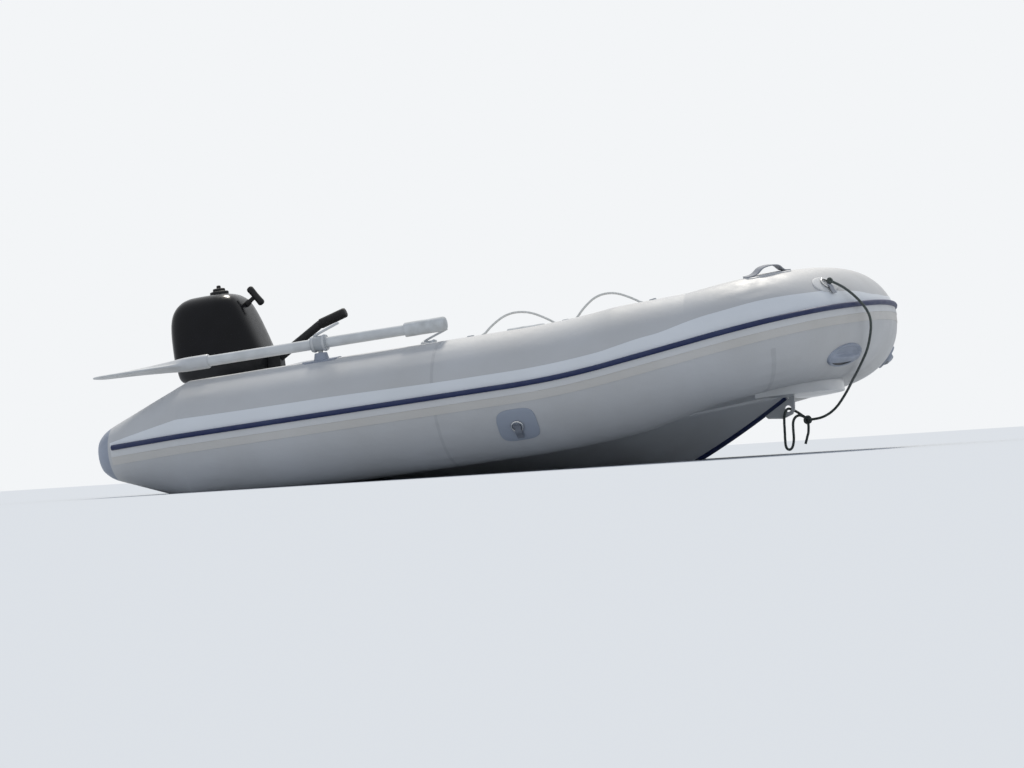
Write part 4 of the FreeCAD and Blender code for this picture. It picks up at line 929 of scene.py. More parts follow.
def slope(i, column):
    """Slope of a column at a station, level where its neighbours turn back or stay level."""
    rows = HULL_STATIONS
    if i == 0:
        return rate(rows[0], rows[1], column)
    if i == len(rows) - 1:
        return rate(rows[-2], rows[-1], column)
    back, forth = rate(rows[i - 1], rows[i], column), rate(rows[i], rows[i + 1], column)
    return 2 * back * forth / (back + forth) if back * forth > 0 else 0.0


def station(x):
    """Chine half-breadth, chine height and flange half-breadth at x, by a smooth curve."""
    i = max(k for k in range(len(HULL_STATIONS) - 1) if HULL_STATIONS[k][0] <= x or k == 0)
    start, end = HULL_STATIONS[i:i + 2]
    width = end[0] - start[0]
    s = (x - start[0]) / width
    return [(2 * s ** 3 - 3 * s ** 2 + 1) * start[c]
            + (s ** 3 - 2 * s ** 2 + s) * width * slope(i, c)
            + (3 * s ** 2 - 2 * s ** 3) * end[c]
            + (s ** 3 - s ** 2) * width * slope(i + 1, c) for c in (1, 2, 3)]


print("chine and flange amidships", [round(value, 3) for value in station(KEEL_STRAIGHT)])

# %% [markdown]
# A section goes from the keel to the chine with a slight hollow, round the chine's small
# radius, out to the flange's edge and up to its top. The stations stand closer together where
# the stem curves.

# %% Skin of the hull
HULL_HOLLOW = 0.006
HOLLOW_FADE = 0.3
BOTTOM_STEPS = 10
# columns: past the chine's half-breadth, above the chine
CHINE_ROUND = [(0.004, 0.003), (0.006, 0.010)]
FLANGE_FOOT = 0.012
FLANGE_MIN = 0.008
FLANGE_DRAFT = 0.002
TUBE_SEAT = -0.150
FLANGE_TOP = -0.088
SEAT_END = 1.500
AFT_STEP = 0.04
FORE_STEP = 0.0145


def port_half(ring):
    """The mirrored points that close a half section, without the ones on the keel's line."""
    return [Vector((p.x, -p.y, p.z)) for p in reversed(ring)]


def hull_ring(x):
    """Half a section from keel to chine, flange and top, then the other half."""
    chine_y, chine_z, flange_y = station(x)
    keel = keel_height(x)
    half = [(chine_y * share, keel + (chine_z - keel) * share
             + HULL_HOLLOW * math.sin(math.pi * share) * min(chine_y / HOLLOW_FADE, 1.0))
            for share in even_steps(0, 1, BOTTOM_STEPS)]
    half += [(chine_y + out, chine_z + up) for out, up in CHINE_ROUND]
    half += [(max(flange_y, chine_y + FLANGE_MIN), chine_z + FLANGE_FOOT),
             (flange_y + FLANGE_DRAFT, TUBE_SEAT if x < SEAT_END else FLANGE_TOP)]
    ring = [Vector((x, y, z)) for y, z in half]
    return ring + port_half(ring[1:])


hull_runs = [i * AFT_STEP for i in range(29)]
hull_runs += [CHINE_TURN + i * FORE_STEP for i in range(52)] + [STEM_HEAD]
hull = new_piece("hull_skin", from_rings([hull_ring(x) for x in hull_runs]), GELCOAT, "hull_skin",
                 node="hull", sharp=28)
print("hull faces", len(hull.data.polygons))

# %% [markdown]
# Ahead of the stem head, the moulding goes on as a flat flange under the bow tube, which
# carries the bow step. Its plan is a blunt arrow with rounded shoulders.

# %% Flange under the bow
FLANGE_PLAN = [(STEM_HEAD - 0.02, 0.436), (1.940, 0.380), (1.985, 0.318), (2.020, 0.250),
               (2.045, 0.170), (2.063, 0.085), (2.070, 0.0)]
FLANGE_UNDER = -0.127
plan = FLANGE_PLAN + [(x, -y) for x, y in reversed(FLANGE_PLAN[:-1])]
flange_rings = [[Vector((x, y, z)) for x, y in plan] for z in (FLANGE_UNDER, FLANGE_TOP)]
new_piece("hull_flange", from_rings(flange_rings), GELCOAT, "hull_skin", sharp=40)
print("flange corners", len(plan))

# %% [markdown]
# ### Keel guard
# A navy strip of tough plastic is bonded over the keel and up the stem, where the boat meets
# the beach. It follows the vee on both sides of the keel, so its section is a bent band.

# %% Keel guard
GUARD_HALF = 0.022
GUARD_PROUD = 0.0052
GUARD_GROWN = 1.05
STEEPEST = 2.2
LAST_STATION = 1.870
# columns: out from the keel, above the vee
GUARD_SECTION = [(0.0, -GUARD_PROUD), (0.010, -GUARD_PROUD), (GUARD_HALF - 0.003, -0.0050),
                 (GUARD_HALF, -0.001)]
GUARD_LIP = (GUARD_HALF - 0.001, 0.004)


def guard_ring(x):
    chine_y, chine_z, _ = station(min(x, LAST_STATION))
    keel = keel_height(x)
    flare = min((chine_z - keel) / max(chine_y, GUARD_HALF), STEEPEST)
    shrink = GUARD_GROWN / math.hypot(1.0, flare)
    section = [(y, y * flare + up) for y, up in GUARD_SECTION]
    section.append((GUARD_LIP[0], GUARD_HALF * flare + GUARD_LIP[1]))
    ring = [Vector((x, y * shrink, keel + z * shrink)) for y, z in section]
    return ring + port_half(ring[1:])


guard_runs = [i * 0.05 for i in range(27)] + [KEEL_STRAIGHT + i * 0.0135 for i in range(40)]
guard = new_piece("keel_guard_strip", from_rings([guard_ring(x) for x in guard_runs]),
                  NAVY_RUBBER, "strake_rubber", node="keel_guard", sharp=40)
print("guard faces", len(guard.data.polygons), "last at", round(guard_runs[-1], 3))

# %% [markdown]
# ## Motor hood and pan
# The hood is a glossy moulding: upright sides, a leaning face, rounded shoulders and a crowned
# top. It could be carved from a box, but a loft through plan outlines keeps its reflections
# even. Each level is the same plan, scaled to that level's front, back and half-width, and a
# subdivision modifier rounds what lies between. The pan under it is made in the same way.

# %% Levels of the hood and the pan
# columns: share of the half length, share of the half width
HOOD_PLAN = [(1.0, 0.0), (0.995, 0.38), (0.955, 0.64), (0.86, 0.80), (0.70, 0.905), (0.50, 0.972),
             (0.25, 1.0), (0.0, 0.995), (-0.25, 0.975), (-0.50, 0.94), (-0.72, 0.87),
             (-0.87, 0.75), (-0.955, 0.56), (-0.99, 0.32), (-1.0, 0.0)]
# columns: height, front, back, half-width
HOOD_LEVELS = [
    (0.3010, 0.0500, -0.2915, 0.1395), (0.3060, 0.0508, -0.2930, 0.1410),
    (0.3400, 0.0395, -0.2935, 0.1412), (0.3800, 0.0270, -0.2930, 0.1408),
    (0.4200, 0.0135, -0.2910, 0.1395), (0.4550, 0.0005, -0.2860, 0.1360),
    (0.4830, -0.0110, -0.2760, 0.1290), (0.5030, -0.0230, -0.2620, 0.1170),
    (0.5180, -0.0380, -0.2450, 0.1000), (0.5280, -0.0560, -0.2260, 0.0780),
    (0.5335, -0.0800, -0.2000, 0.0500),
]
PAN_LEVELS = [
    (0.2305, 0.0240, -0.2620, 0.1120), (0.2380, 0.0360, -0.2780, 0.1270),
    (0.2560, 0.0430, -0.2860, 0.1345), (0.2800, 0.0460, -0.2885, 0.1370),
    (0.2975, 0.0460, -0.2885, 0.1375), (0.2995, 0.0450, -0.2875, 0.1365),
]


def hood_ring(height, front, back, half):
    middle, reach = (front + back) / 2, (front - back) / 2
    side = [Vector((middle + u * reach, v * half, height)) for u, v in HOOD_PLAN]
    return side + port_half(side[1:-1])


for name, levels, material, node, slot in (
        ("motor_hood", HOOD_LEVELS, COWL_BLACK, "cowl", "motor_cowl"),
        ("motor_pan_shell", PAN_LEVELS, MOTOR_PAINT, "motor_pan", "motor_metal")):
    shell = new_piece(name, from_rings([hood_ring(*level) for level in levels]), material, slot,
                      node=node, body="engine")
    smooth = shell.modifiers.new("smooth", "SUBSURF")
    smooth.levels = smooth.render_levels = 2
    print(name, "rings", len(levels))

# %% [markdown]
# ## Grab ropes
# Along each side tube runs a soft white rope, held by three eyelets, that stands up in two hand
# loops. It is braided like the painter but finer, and its heights over the tube are the ones
# that its eyelets and its own stiffness give.

# %% Two grab ropes
GRAB_R = 0.004
GRAB_ANGLE = 111.0
GRAB_STEP = 0.0016
# columns: run, height over the tube
GRAB_ROUTE = [(0.925, 0.009), (0.985, 0.009), (1.022, 0.050), (1.078, 0.084), (1.150, 0.080),
              (1.222, 0.042), (1.265, 0.009), (1.325, 0.009), (1.362, 0.050), (1.418, 0.084),
              (1.486, 0.078), (1.545, 0.042), (1.585, 0.009), (1.642, 0.009)]
grab_line = smooth_line("grab_rope", [place_at(run).skin(GRAB_ANGLE, lift)
                                      for run, lift in GRAB_ROUTE])
grab_skin = braided(evenly(grab_line, GRAB_STEP), GRAB_R, around=16, strands=4, pitch=0.018,
                    rise=0.144)
one_a_side("grab_rope_*_braid", grab_skin, GRAB_YARN, "rope_grey", node="grab_rope_*")
print("grab rope", round(length_of(grab_line), 3), "m,", len(grab_skin[1]), "faces")

# %% [markdown]
# ## Patches, straps and webbing
# Fittings are glued to the tube on patches of the same cloth. A patch is thin, but its edge is
# what tells it from paint, so it is a real skin that follows the tube and ends in a small step.

# %% The makers of patches and ribbons
PATCH_T = 0.003
PATCH_TUCK = -0.002
PATCH_AROUND = 72
# columns: share of the patch's size, height over the tube
PATCH_ROWS = [(1.0, PATCH_TUCK), (1.0, PATCH_T * 0.55), (0.992, PATCH_T * 0.9),
              (0.975, PATCH_T), (0.80, PATCH_T), (0.60, PATCH_T), (0.40, PATCH_T),
              (0.20, PATCH_T), (0.05, PATCH_T)]
# columns: share of the width, share of the thickness
RIBBON_HALF = [(-0.5, 0.2), (-0.47, 0.5), (-0.2, 0.5), (0.0, 0.5), (0.2, 0.5), (0.47, 0.5),
               (0.5, 0.2)]
RIBBON_SECTION = RIBBON_HALF + [(s, -f) for s, f in reversed(RIBBON_HALF)]


def glued_patch(run, angle, half_along, half_around, squareness):
    """A patch on the tube: rings that shrink toward its middle, over the tube's own skin."""
    rings = []
    for scale, lift in PATCH_ROWS:
        ring = []
        for turn in full_turn(PATCH_AROUND):
            u, v = math.cos(turn), math.sin(turn)
            u = math.copysign(abs(u) ** (2 / squareness), u) * half_along * scale
            v = math.copysign(abs(v) ** (2 / squareness), v) * half_around * scale
            spot = angle + math.degrees(v / place_at(run + u).radius)
            ring.append(cloth_point(run + u, spot, lift))
        rings.append(ring)
    return from_rings(rings)


def ribbon(line, across, width, thickness):
    """A flat band with rounded edges, carried along a line; across is its width's direction."""
    points = []
    for i, centre in enumerate(line):
        heading = (line[min(i + 1, len(line) - 1)] - line[max(i - 1, 0)]).normalized()
        side = (across - heading * across.dot(heading)).normalized()
        face = heading.cross(side)
        points += [centre + side * (s * width) + face * (f * thickness)
                   for s, f in RIBBON_SECTION]
    return points, rings_to_faces(len(line), len(RIBBON_SECTION))


print("ribbon corners", len(RIBBON_SECTION))

# %% [markdown]
# Straps are woven flat and show ribs, and the oars' sleeves are foam with fine pits. Both are
# too fine to model, so a wave texture and a cell texture raise them in the relief.

# %% Webbing and foam


def webbing(name, colour, worn):
    """Flat woven strap: ribs across it, and threads worn pale at their tops."""
    strap = Finish(name, 0.75, gloss=0.3)
    ribs = strap.ribs(0.0016, "X", 1.2)
    strap.colour(strap.blend(strap.between(ribs, 0.2, 0.9), worn, colour))
    strap.relief(ribs, 0.00025)
    strap.relief(strap.clouds(0.0008, 2.0), 0.0001)
    return strap.material


def foam(name, colour, worn):
    """Closed-cell foam: matt, finely pitted, and grubby where hands hold it."""
    sleeve = Finish(name, 0.85, gloss=0.2)
    grime = sleeve.between(sleeve.clouds(0.03, 5.0), 0.4, 0.75)
    sleeve.colour(sleeve.blend(grime, colour, worn))
    sleeve.relief(sleeve.cells(0.0011, 1.0), 0.00018)
    sleeve.relief(sleeve.clouds(0.012, 3.0), 0.0008)
    return sleeve.material


STRAP_WEBBING = webbing("strap_webbing", card(140, 142, 147), card(166, 168, 172))
GREY_WEBBING = webbing("grey_webbing", card(96, 101, 110), card(128, 132, 140))
GRIP_FOAM = foam("grip_foam", card(206, 208, 208), card(184, 185, 183))
print("webbings and foam", STRAP_WEBBING.name, GREY_WEBBING.name, GRIP_FOAM.name)

# %% [markdown]
# ### Carrying straps
# On each shoulder of the bow a webbing strap is sewn to a patch at both ends and stands up in
# an arch, so that a hand goes under it.

# %% Carrying straps
STRAP_RUN = 2.010
STRAP_ANGLE = 76.0
STRAP_WIDTH = 0.032
STRAP_T = 0.0036
STRAP_PATCH = (0.085, 0.028, 4.0)
# columns: along the tube from the strap's middle, height over the skin
STRAP_HALF = [(0.012, 0.0275), (0.032, 0.0235), (0.046, 0.0110), (0.058, 0.0052),
              (0.070, 0.0042), (0.082, 0.0042)]
STRAP_ARCH = [(-way, height) for way, height in reversed(STRAP_HALF)] + STRAP_HALF
middle = place_at(STRAP_RUN)
arch = smooth_line("strap", [place_at(STRAP_RUN + way).skin(STRAP_ANGLE, height)
                             for way, height in STRAP_ARCH])
crosswise = turned_to_trim(middle.normal(STRAP_ANGLE).cross(middle.t))
strap = both_sides("bow_strap_webbing", ribbon(evenly(arch, 0.003), crosswise, STRAP_WIDTH,
                                               STRAP_T),
                   STRAP_WEBBING, "black_rubber", node="bow_straps", sharp=50)
both_sides("bow_strap_patches", glued_patch(STRAP_RUN, STRAP_ANGLE, *STRAP_PATCH), TAPE_CLOTH,
           "tube_fabric", sharp=40)
print("strap faces", len(strap.data.polygons))

# %% [markdown]
# ### Rings on their patches
# A steel ring lies on each patch under a short keeper of webbing. The keeper is sewn down on
# both sides of the ring's wire, and is drawn as a band that rises over it.

# %% Ring patches and keepers
RING_R = 0.019
KEEPER_WIDTH = 0.022
KEEPER_T = 0.0028
# columns: across the ring's wire, height over the tube
KEEPER_HALF = [(0.004, 0.0118), (0.010, 0.0075), (0.018, 0.0048), (0.026, 0.0045)]
KEEPER_ARCH = [(-way, height) for way, height in reversed(KEEPER_HALF)] + KEEPER_HALF
# columns: node, run, angle, half length, half width, squareness, cloth, keeper's webbing
RING_PATCHES = [
    ("bow_ring_patches", 2.116, 33.0, 0.056, 0.034, 2.2, TAPE_CLOTH, STRAP_WEBBING),
    ("side_ring_patches", 1.142, -32.0, 0.066, 0.060, 3.6, PATCH_CLOTH, GREY_WEBBING),
]


def keeper(run, angle):
    """A band across the ring's wire, at the ring's lower side."""
    at = place_at(run)
    around_it = at.normal(angle).cross(at.t)
    foot = at.skin(angle) - around_it * RING_R
    rows = [foot + around_it * way + at.normal(angle) * height for way, height in KEEPER_ARCH]
    return ribbon(evenly(smooth_line("keeper", rows), 0.002), turned_to_trim(at.t),
                  KEEPER_WIDTH, KEEPER_T)


for name, run, angle, half_along, half_around, squareness, cloth, band in RING_PATCHES:
    both_sides(name + "_cloth", glued_patch(run, angle, half_along, half_around, squareness),
               cloth, "tube_fabric", node=name, sharp=40)
    both_sides(name + "_keeper", keeper(run, angle), band, "strake_rubber", sharp=50)
print("ring patches", len(RING_PATCHES), "a side")

# %% [markdown]
# ### Lifting handles
# Low on each side of the bow is a moulded grip on an oval foot: a shallow dish above, a shell
# that swells out below it, and a pocket under the shell's lip for the fingers. It is one skin
# whose height over the foot is worked out point by point, because its parts flow into each other.

# %% Shape of the lifting handles
HANDLE_FOOT = 0.0065
FOOT_EDGE = 0.93
FOOT_END = 0.995
SHELL_HEIGHT = 0.0135
SHELL_LENGTH = 0.88
SHELL_TOP = 0.20
SHELL_LIP = -0.34
SHELL_DROOP = 0.25
DISH_DEPTH = 0.0035
DISH_REACH = 0.68
POCKET_DEPTH = 0.0050
POCKET_REACH = 0.84


def step_up(value, low, high):
    """0 below low, 1 above high, and eased between them."""
    return eased(min(max((value - low) / (high - low), 0.0), 1.0))


def handle_height(u, v):
    """Height over the tube at a share of the half length and of the half width."""
    out = math.hypot(u, v)
    if out > FOOT_END:
        return EDGE_TUCK
    foot = HANDLE_FOOT * (1 - step_up(out, FOOT_EDGE, 1.0))
    arch = math.sqrt(max(1 - (u / SHELL_LENGTH) ** 2, 0.0))
    across = step_up(SHELL_TOP - v, 0.0, 0.09) * (1 - step_up(SHELL_LIP - v, 0.0, 0.08))
    shell = SHELL_HEIGHT * arch * across * (1 - SHELL_DROOP * step_up(v, 0.0, SHELL_LIP))
    dish = DISH_DEPTH * step_up(v, SHELL_TOP, SHELL_TOP + 0.08)
    dish *= 1 - step_up(out, DISH_REACH, DISH_REACH + 0.18)
    pocket = POCKET_DEPTH * step_up(SHELL_LIP - v, 0.04, 0.10)
    pocket *= 1 - step_up(out, POCKET_REACH - 0.06, POCKET_REACH)
    return foot + shell - dish - pocket


print("shell stands", round(handle_height(0, 0), 4), "m over the tube")

# %% [markdown]
# The handle's rings shrink from its edge to its middle, like a patch's. The pocket's faces get
# dark rubber as painted shade under the shell's lip, so the shares of every point are kept to
# find them again.

# %% Lifting handles
HANDLE_RUN = 2.162
HANDLE_ANGLE = -46.0
HANDLE_HALF = (0.098, 0.044)
HANDLE_RINGS = 44
HANDLE_AROUND = 128
shares = [(math.cos(turn) * scale, math.sin(turn) * scale)
          for scale in (1.0 - row / HANDLE_RINGS for row in range(HANDLE_RINGS))
          for turn in full_turn(HANDLE_AROUND)]


def handle_point(u, v):
    at = place_at(HANDLE_RUN + u * HANDLE_HALF[0])
    return at.skin(HANDLE_ANGLE + math.degrees(v * HANDLE_HALF[1] / at.radius),
                   handle_height(u, v))


handle_points = [handle_point(u, v) for u, v in shares]
handle_rings = [handle_points[first:first + HANDLE_AROUND]
                for first in range(0, len(shares), HANDLE_AROUND)]
handle = both_sides("lift_handle_shells", from_rings(handle_rings), GREY_MOULDING,
                    "grey_moulding", node="lift_handles", sharp=50)
# A second material: dark rubber as painted shade, for the shadow under the shell's lip.
handle.data.materials.append(DARK_RUBBER_AND_POCKET_SHADE)
for face in handle.data.polygons:
    corners = [shares[corner % len(shares)] for corner in face.vertices]
    u, v = (sum(values) / len(corners) for values in zip(*corners))
    if v < SHELL_LIP - 0.04 and math.hypot(u, v) < POCKET_REACH - 0.02:
        face.material_index = 1
print("handle faces", len(handle.data.polygons))

# %% [markdown]
# ## Oars
# Each oar lies along its tube, blade aft. Its shaft is a plain tube, which the CAD already has.
# The grip is a soft foam sleeve with a rounded end, the clip is a moulded ring, and the blade
# thins from a ribbed neck to a flat tip.

# %% The oar's line, and skins turned round a line
OAR_Y = -0.600
OAR_Z = 0.265
OARLOCK_X = 0.450
FORWARD = Vector((1, 0, 0))
UPWARD = Vector((0, 0, 1))


def turned(foot, axis, profile, around=48, grooves=0, depth=0.0):
    """A skin turned round an axis through foot, from rows of distance and radius."""
    axis = axis.normalized()
    side = axis.orthogonal().normalized()
    over_it = axis.cross(side)
    rings = []
    for distance, radius in profile:
        ring = []
        for turn in full_turn(around):
            reach = radius - depth * (0.5 + 0.5 * math.cos(grooves * turn))
            spoke = side * math.cos(turn) + over_it * math.sin(turn)
            ring.append(foot + axis * distance + spoke * reach)
        rings.append(ring)
    return from_rings(rings)


print("the oar lies", round(afloat(0, OAR_Y, OAR_Z).z, 3), "m over the water at the transom")

# %% [markdown]
# A foam sleeve is never a perfect cylinder. Hands dent it in wide soft spots, and its cut end
# is a little ragged, so each point of a turned skin is moved by noise.

# %% Foam grips
GRIP_END = 0.900
GRIP_LENGTH = 0.145
GRIP_R = 0.0249
GRIP_AROUND = 72
RAGGED_ROWS = 3
RAGGED_DEPTH = 0.0022
RAGGED_SEED = Vector((7, 0, 0))
FOAM_SINK = 0.0006
# columns: depth, waves a metre
DENTS = [(0.0006, 26), (0.0003, 90)]
# columns: past the sleeve's end, radius
GRIP_NOSE = [(-0.0065, 0.0243), (-0.0030, 0.0228), (-0.0008, 0.0196), (0.0, 0.0140),
             (0.0002, 0.0070), (0.0003, 0.0010)]
GRIP_PROFILE = [(0.0, 0.0186), (0.0004, 0.0215), (0.0010, 0.0238)]
GRIP_PROFILE += [(0.0030 + 0.0055 * k, GRIP_R) for k in range(25)]
GRIP_PROFILE += [(GRIP_LENGTH + past, radius) for past, radius in GRIP_NOSE]
grip_points, grip_faces = turned(Vector((GRIP_END - GRIP_LENGTH, OAR_Y, OAR_Z)), FORWARD,
                                 GRIP_PROFILE, around=GRIP_AROUND)
forward_afloat = turned_to_trim(FORWARD)
grip_middle = afloat(GRIP_END - GRIP_LENGTH / 2, OAR_Y, OAR_Z)
for i, p in enumerate(grip_points):
    way = (p - grip_middle).dot(forward_afloat)
    outward = (p - grip_middle - forward_afloat * way).normalized()
    dent = sum(depth * noise.noise(p * waves) for depth, waves in DENTS) - FOAM_SINK
    if i < GRIP_AROUND * RAGGED_ROWS:
        p += forward_afloat * (RAGGED_DEPTH * noise.noise(outward * 3.1 + RAGGED_SEED))
    grip_points[i] = p + outward * dent
for grip in one_a_side("oar_grip_foam_*", (grip_points, grip_faces), GRIP_FOAM, "grip_foam",
                       node="oar_grip_*", body="oar_*", sharp=60):
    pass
print("grip faces", len(grip_faces))

# %% [markdown]
# ### Blade
# The blade is a thin moulding, stiffened by a rib that runs out of the neck and fades toward
# the tip. Each section is a flat lens with the rib's round added to it.

# %% Blades
BLADE_STEPS = 24
LENS_FLATNESS = 6
RIB_FILLET = 0.35
# columns: x, half width, thickness, radius of the rib
BLADE_ROWS = [(-0.3695, 0.010, 0.0030, 0.0), (-0.3680, 0.026, 0.0055, 0.0),
              (-0.3630, 0.042, 0.0075, 0.001), (-0.3550, 0.054, 0.0090, 0.003),
              (-0.3400, 0.063, 0.0105, 0.005), (-0.3200, 0.0675, 0.0115, 0.007),
              (-0.2900, 0.0700, 0.0118, 0.0088), (-0.2400, 0.0715, 0.0120, 0.0105),
              (-0.1900, 0.0715, 0.0120, 0.0130), (-0.1500, 0.0660, 0.0120, 0.0155),
              (-0.1150, 0.0560, 0.0122, 0.0178), (-0.0850, 0.0430, 0.0130, 0.0200),
              (-0.0600, 0.0310, 0.0150, 0.0222), (-0.0400, 0.0255, 0.0180, 0.0236),
              (-0.0200, 0.0240, 0.0200, 0.0239), (0.0200, 0.0240, 0.0200, 0.0239),
              (0.0440, 0.0240, 0.0200, 0.0239), (0.0485, 0.0230, 0.0190, 0.0229),
              (0.0500, 0.0205, 0.0170, 0.0204)]


def blade_ring(x, half, thickness, rib):
    upper = []
    for k in range(BLADE_STEPS + 1):
        y = -half * math.cos(math.pi * k / BLADE_STEPS)
        lens = thickness / 2 * (1 - abs(y / half) ** LENS_FLATNESS) ** 0.5
        ridge = math.sqrt(rib * rib - y * y) if abs(y) < rib else 0.0
        upper.append((y, math.hypot(ridge, lens * RIB_FILLET) if ridge > lens else lens))
    return ([Vector((x, OAR_Y + y, OAR_Z + z)) for y, z in upper]
            + [Vector((x, OAR_Y + y, OAR_Z - z)) for y, z in reversed(upper[1:-1])])


blade_skin = from_rings([blade_ring(*row) for row in BLADE_ROWS])
one_a_side("oar_blade_*_moulding", blade_skin, OAR_PLASTIC, "oar_plastic", node="oar_blade_*",
           body="oar_*", sharp=55)
print("blade faces", len(blade_skin[1]))

# %% [markdown]
# ### Clip and its lever
# The clip's ring closes on the shaft with a light lever, whose end points forward and up. Two
# raised ribs stiffen the ring. They are added over the CAD collar, which keeps its pin.

# %% Ribs and levers
LEVER_WIDTH = 0.0110
LEVER_T = 0.0068
# columns: distance, radius
RIB_PROFILE = [(0.0, 0.0255), (0.0010, 0.0278), (0.0045, 0.0284), (0.0080, 0.0278),
               (0.0090, 0.0255)]
RIB_STARTS = (-0.0235, 0.0145)
# columns: x, z
LEVER = [(0.428, 0.2885), (0.440, 0.2945), (0.458, 0.3010), (0.490, 0.3120), (0.526, 0.3240)]
rib_skins = [turned(Vector((OARLOCK_X + start, OAR_Y, OAR_Z)), FORWARD, RIB_PROFILE, around=56)
             for start in RIB_STARTS]
lever_line = smooth_line("lever", [Vector((x, OAR_Y, z)) for x, z in LEVER])
lever_skin = ribbon(evenly(lever_line, 0.004), Vector((0, 1, 0)), LEVER_WIDTH, LEVER_T)
one_a_side("oar_clip_lever_*", joined(*rib_skins, lever_skin), OAR_PLASTIC, "oar_plastic",
           body="oar_*", sharp=50)
print("lever", round(length_of(lever_line), 3), "m long")

# %% [markdown]
# ## Fittings of the motor
# The filler cap is knurled for wet fingers, the starter's pull is a T with rounded ends, the
# tiller's grip is grooved rubber and the propeller's blades are thin and twisted. Each is small,
# but they are what tells a motor from a black box.

# %% Filler cap
HOOD_TOP = HOOD_LEVELS[-1][0]
CAP_FOOT = Vector((-0.111, 0, HOOD_TOP))
# columns: distance and radius, row by row
CAP_SKIRT = [(-0.0200, 0.0330), (0.0020, 0.0336), (0.0075, 0.0336), (0.0098, 0.0322),
             (0.0108, 0.0290), (0.0110, 0.0100), (0.0110, 0.0010)]
CAP_KNOB = [(0.0105, 0.0215), (0.0118, 0.0225), (0.0180, 0.0222), (0.0207, 0.0205),
            (0.0218, 0.0170), (0.0220, 0.0060), (0.0220, 0.0008)]
CAP_VENT = [(0.0215, 0.0078), (0.0290, 0.0076), (0.0318, 0.0062), (0.0328, 0.0035),
            (0.0330, 0.0004)]
cap = joined(turned(CAP_FOOT, UPWARD, CAP_SKIRT, around=64),
             turned(CAP_FOOT, UPWARD, CAP_KNOB, around=96, grooves=16, depth=0.0022),
             turned(CAP_FOOT, UPWARD, CAP_VENT, around=32))
new_piece("filler_cap", cap, BLACK_RUBBER, "black_rubber", node="fuel_cap", body="engine",
          sharp=45)
print("cap faces", len(cap[1]))

# %% [markdown]
# The pull is a bar across a tapered neck, which sits in a slanting seat of the hood. Both are
# turned shapes, so each is one list of distances and radii.

# %% Starter's pull
PULL_SEAT = Vector((-0.006, 0, HOOD_TOP - 0.045))
PULL_OUT = Vector((0.834, 0, 0.552))
PULL_REACH = 0.036
PULL_ROOT = 0.015
PULL_HALF = 0.040
# columns: distance, radius
PULL_BAR = [(0.0, 0.0020), (0.0012, 0.0078), (0.0040, 0.0112), (0.0085, 0.0128), (0.022, 0.0124),
            (PULL_HALF, 0.0118), (0.058, 0.0124), (0.0715, 0.0128), (0.0760, 0.0112),
            (0.0788, 0.0078), (2 * PULL_HALF, 0.0020)]
PULL_NECK = [(0.0, 0.0115), (0.018, 0.0105), (0.026, 0.0078), (0.040, 0.0076), (0.052, 0.0088)]
pull_along = Vector((PULL_OUT.z, 0, -PULL_OUT.x))
bar_foot = PULL_SEAT + PULL_OUT * PULL_REACH - pull_along * PULL_HALF
pull = joined(turned(PULL_SEAT - PULL_OUT * PULL_ROOT, PULL_OUT, PULL_NECK, around=40),
              turned(bar_foot, pull_along, PULL_BAR, around=56))
new_piece("starter_pull", pull, BLACK_RUBBER, "black_rubber", node="starter_handle",
          body="engine", sharp=60)
print("pull faces", len(pull[1]))

# %% [markdown]
# The twist grip is a rubber sleeve with grooves round it, which a loop writes into its profile
# one after the other.

# %% Tiller's grip
TILLER_JOINT = Vector((0.250, 0, 0.372))
TILLER_TIP = Vector((0.352, 0, 0.400))
TILLER_R = 0.0178
GROOVE_R = 0.0166
GROOVES = 12
GROOVE_PITCH = 0.0072
# columns: past the grip's end, radius
TILLER_NOSE = [(-0.0110, TILLER_R), (-0.0040, 0.0174), (-0.0012, 0.0150), (0.0, 0.0100),
               (0.0002, 0.0010)]
tiller_length = (TILLER_TIP - TILLER_JOINT).length
tiller_rows = [(0.0, 0.0125), (0.0015, 0.0160), (0.0040, 0.0176)]
for start in (0.007 + GROOVE_PITCH * k for k in range(GROOVES)):
    tiller_rows += [(start, TILLER_R), (start + 0.0044, TILLER_R), (start + 0.0052, GROOVE_R),
                    (start + 0.0062, GROOVE_R)]
tiller_rows += [(tiller_length + past, radius) for past, radius in TILLER_NOSE]
twist = turned(TILLER_JOINT, TILLER_TIP - TILLER_JOINT, tiller_rows, around=56)
new_piece("tiller_twist_grip", twist, BLACK_RUBBER, "black_rubber", node="tiller_grip",
          body="engine", sharp=40)
print("grip length", round(tiller_length, 3))

# %% [markdown]
# A propeller's blade is steepest at the hub, where it moves slowest, and flattest at its tip.
# Each section is a thin lens across the shaft, turned by the pitch of its own row.

# %% Propeller
PROP_Z = -0.460
HUB_START = -0.248
HUB_LENGTH = 0.059
BLADE_TURNS = (0, 120, 240)
BLADE_POINTS = 24
BLADE_CUP = 0.002
# columns: distance, radius
HUB_ROWS = [(0.0, 0.0070), (0.0002, 0.0190), (0.0015, 0.0200), (0.030, 0.0175),
            (HUB_LENGTH - 0.002, 0.0145), (HUB_LENGTH, 0.0130), (HUB_LENGTH, 0.0070)]
# columns: distance from the shaft, half chord, pitch from the disc's plane, half thickness
PROP_SECTIONS = [
    (0.014, 0.024, 49, 0.0040), (0.026, 0.029, 43, 0.0036), (0.040, 0.0335, 37, 0.0031),
    (0.055, 0.0350, 32, 0.0026), (0.068, 0.0325, 28, 0.0021), (0.078, 0.0270, 25, 0.0017),
    (0.085, 0.0200, 23, 0.0013), (0.0895, 0.0125, 22, 0.0010), (0.0915, 0.0040, 22, 0.0006),
]


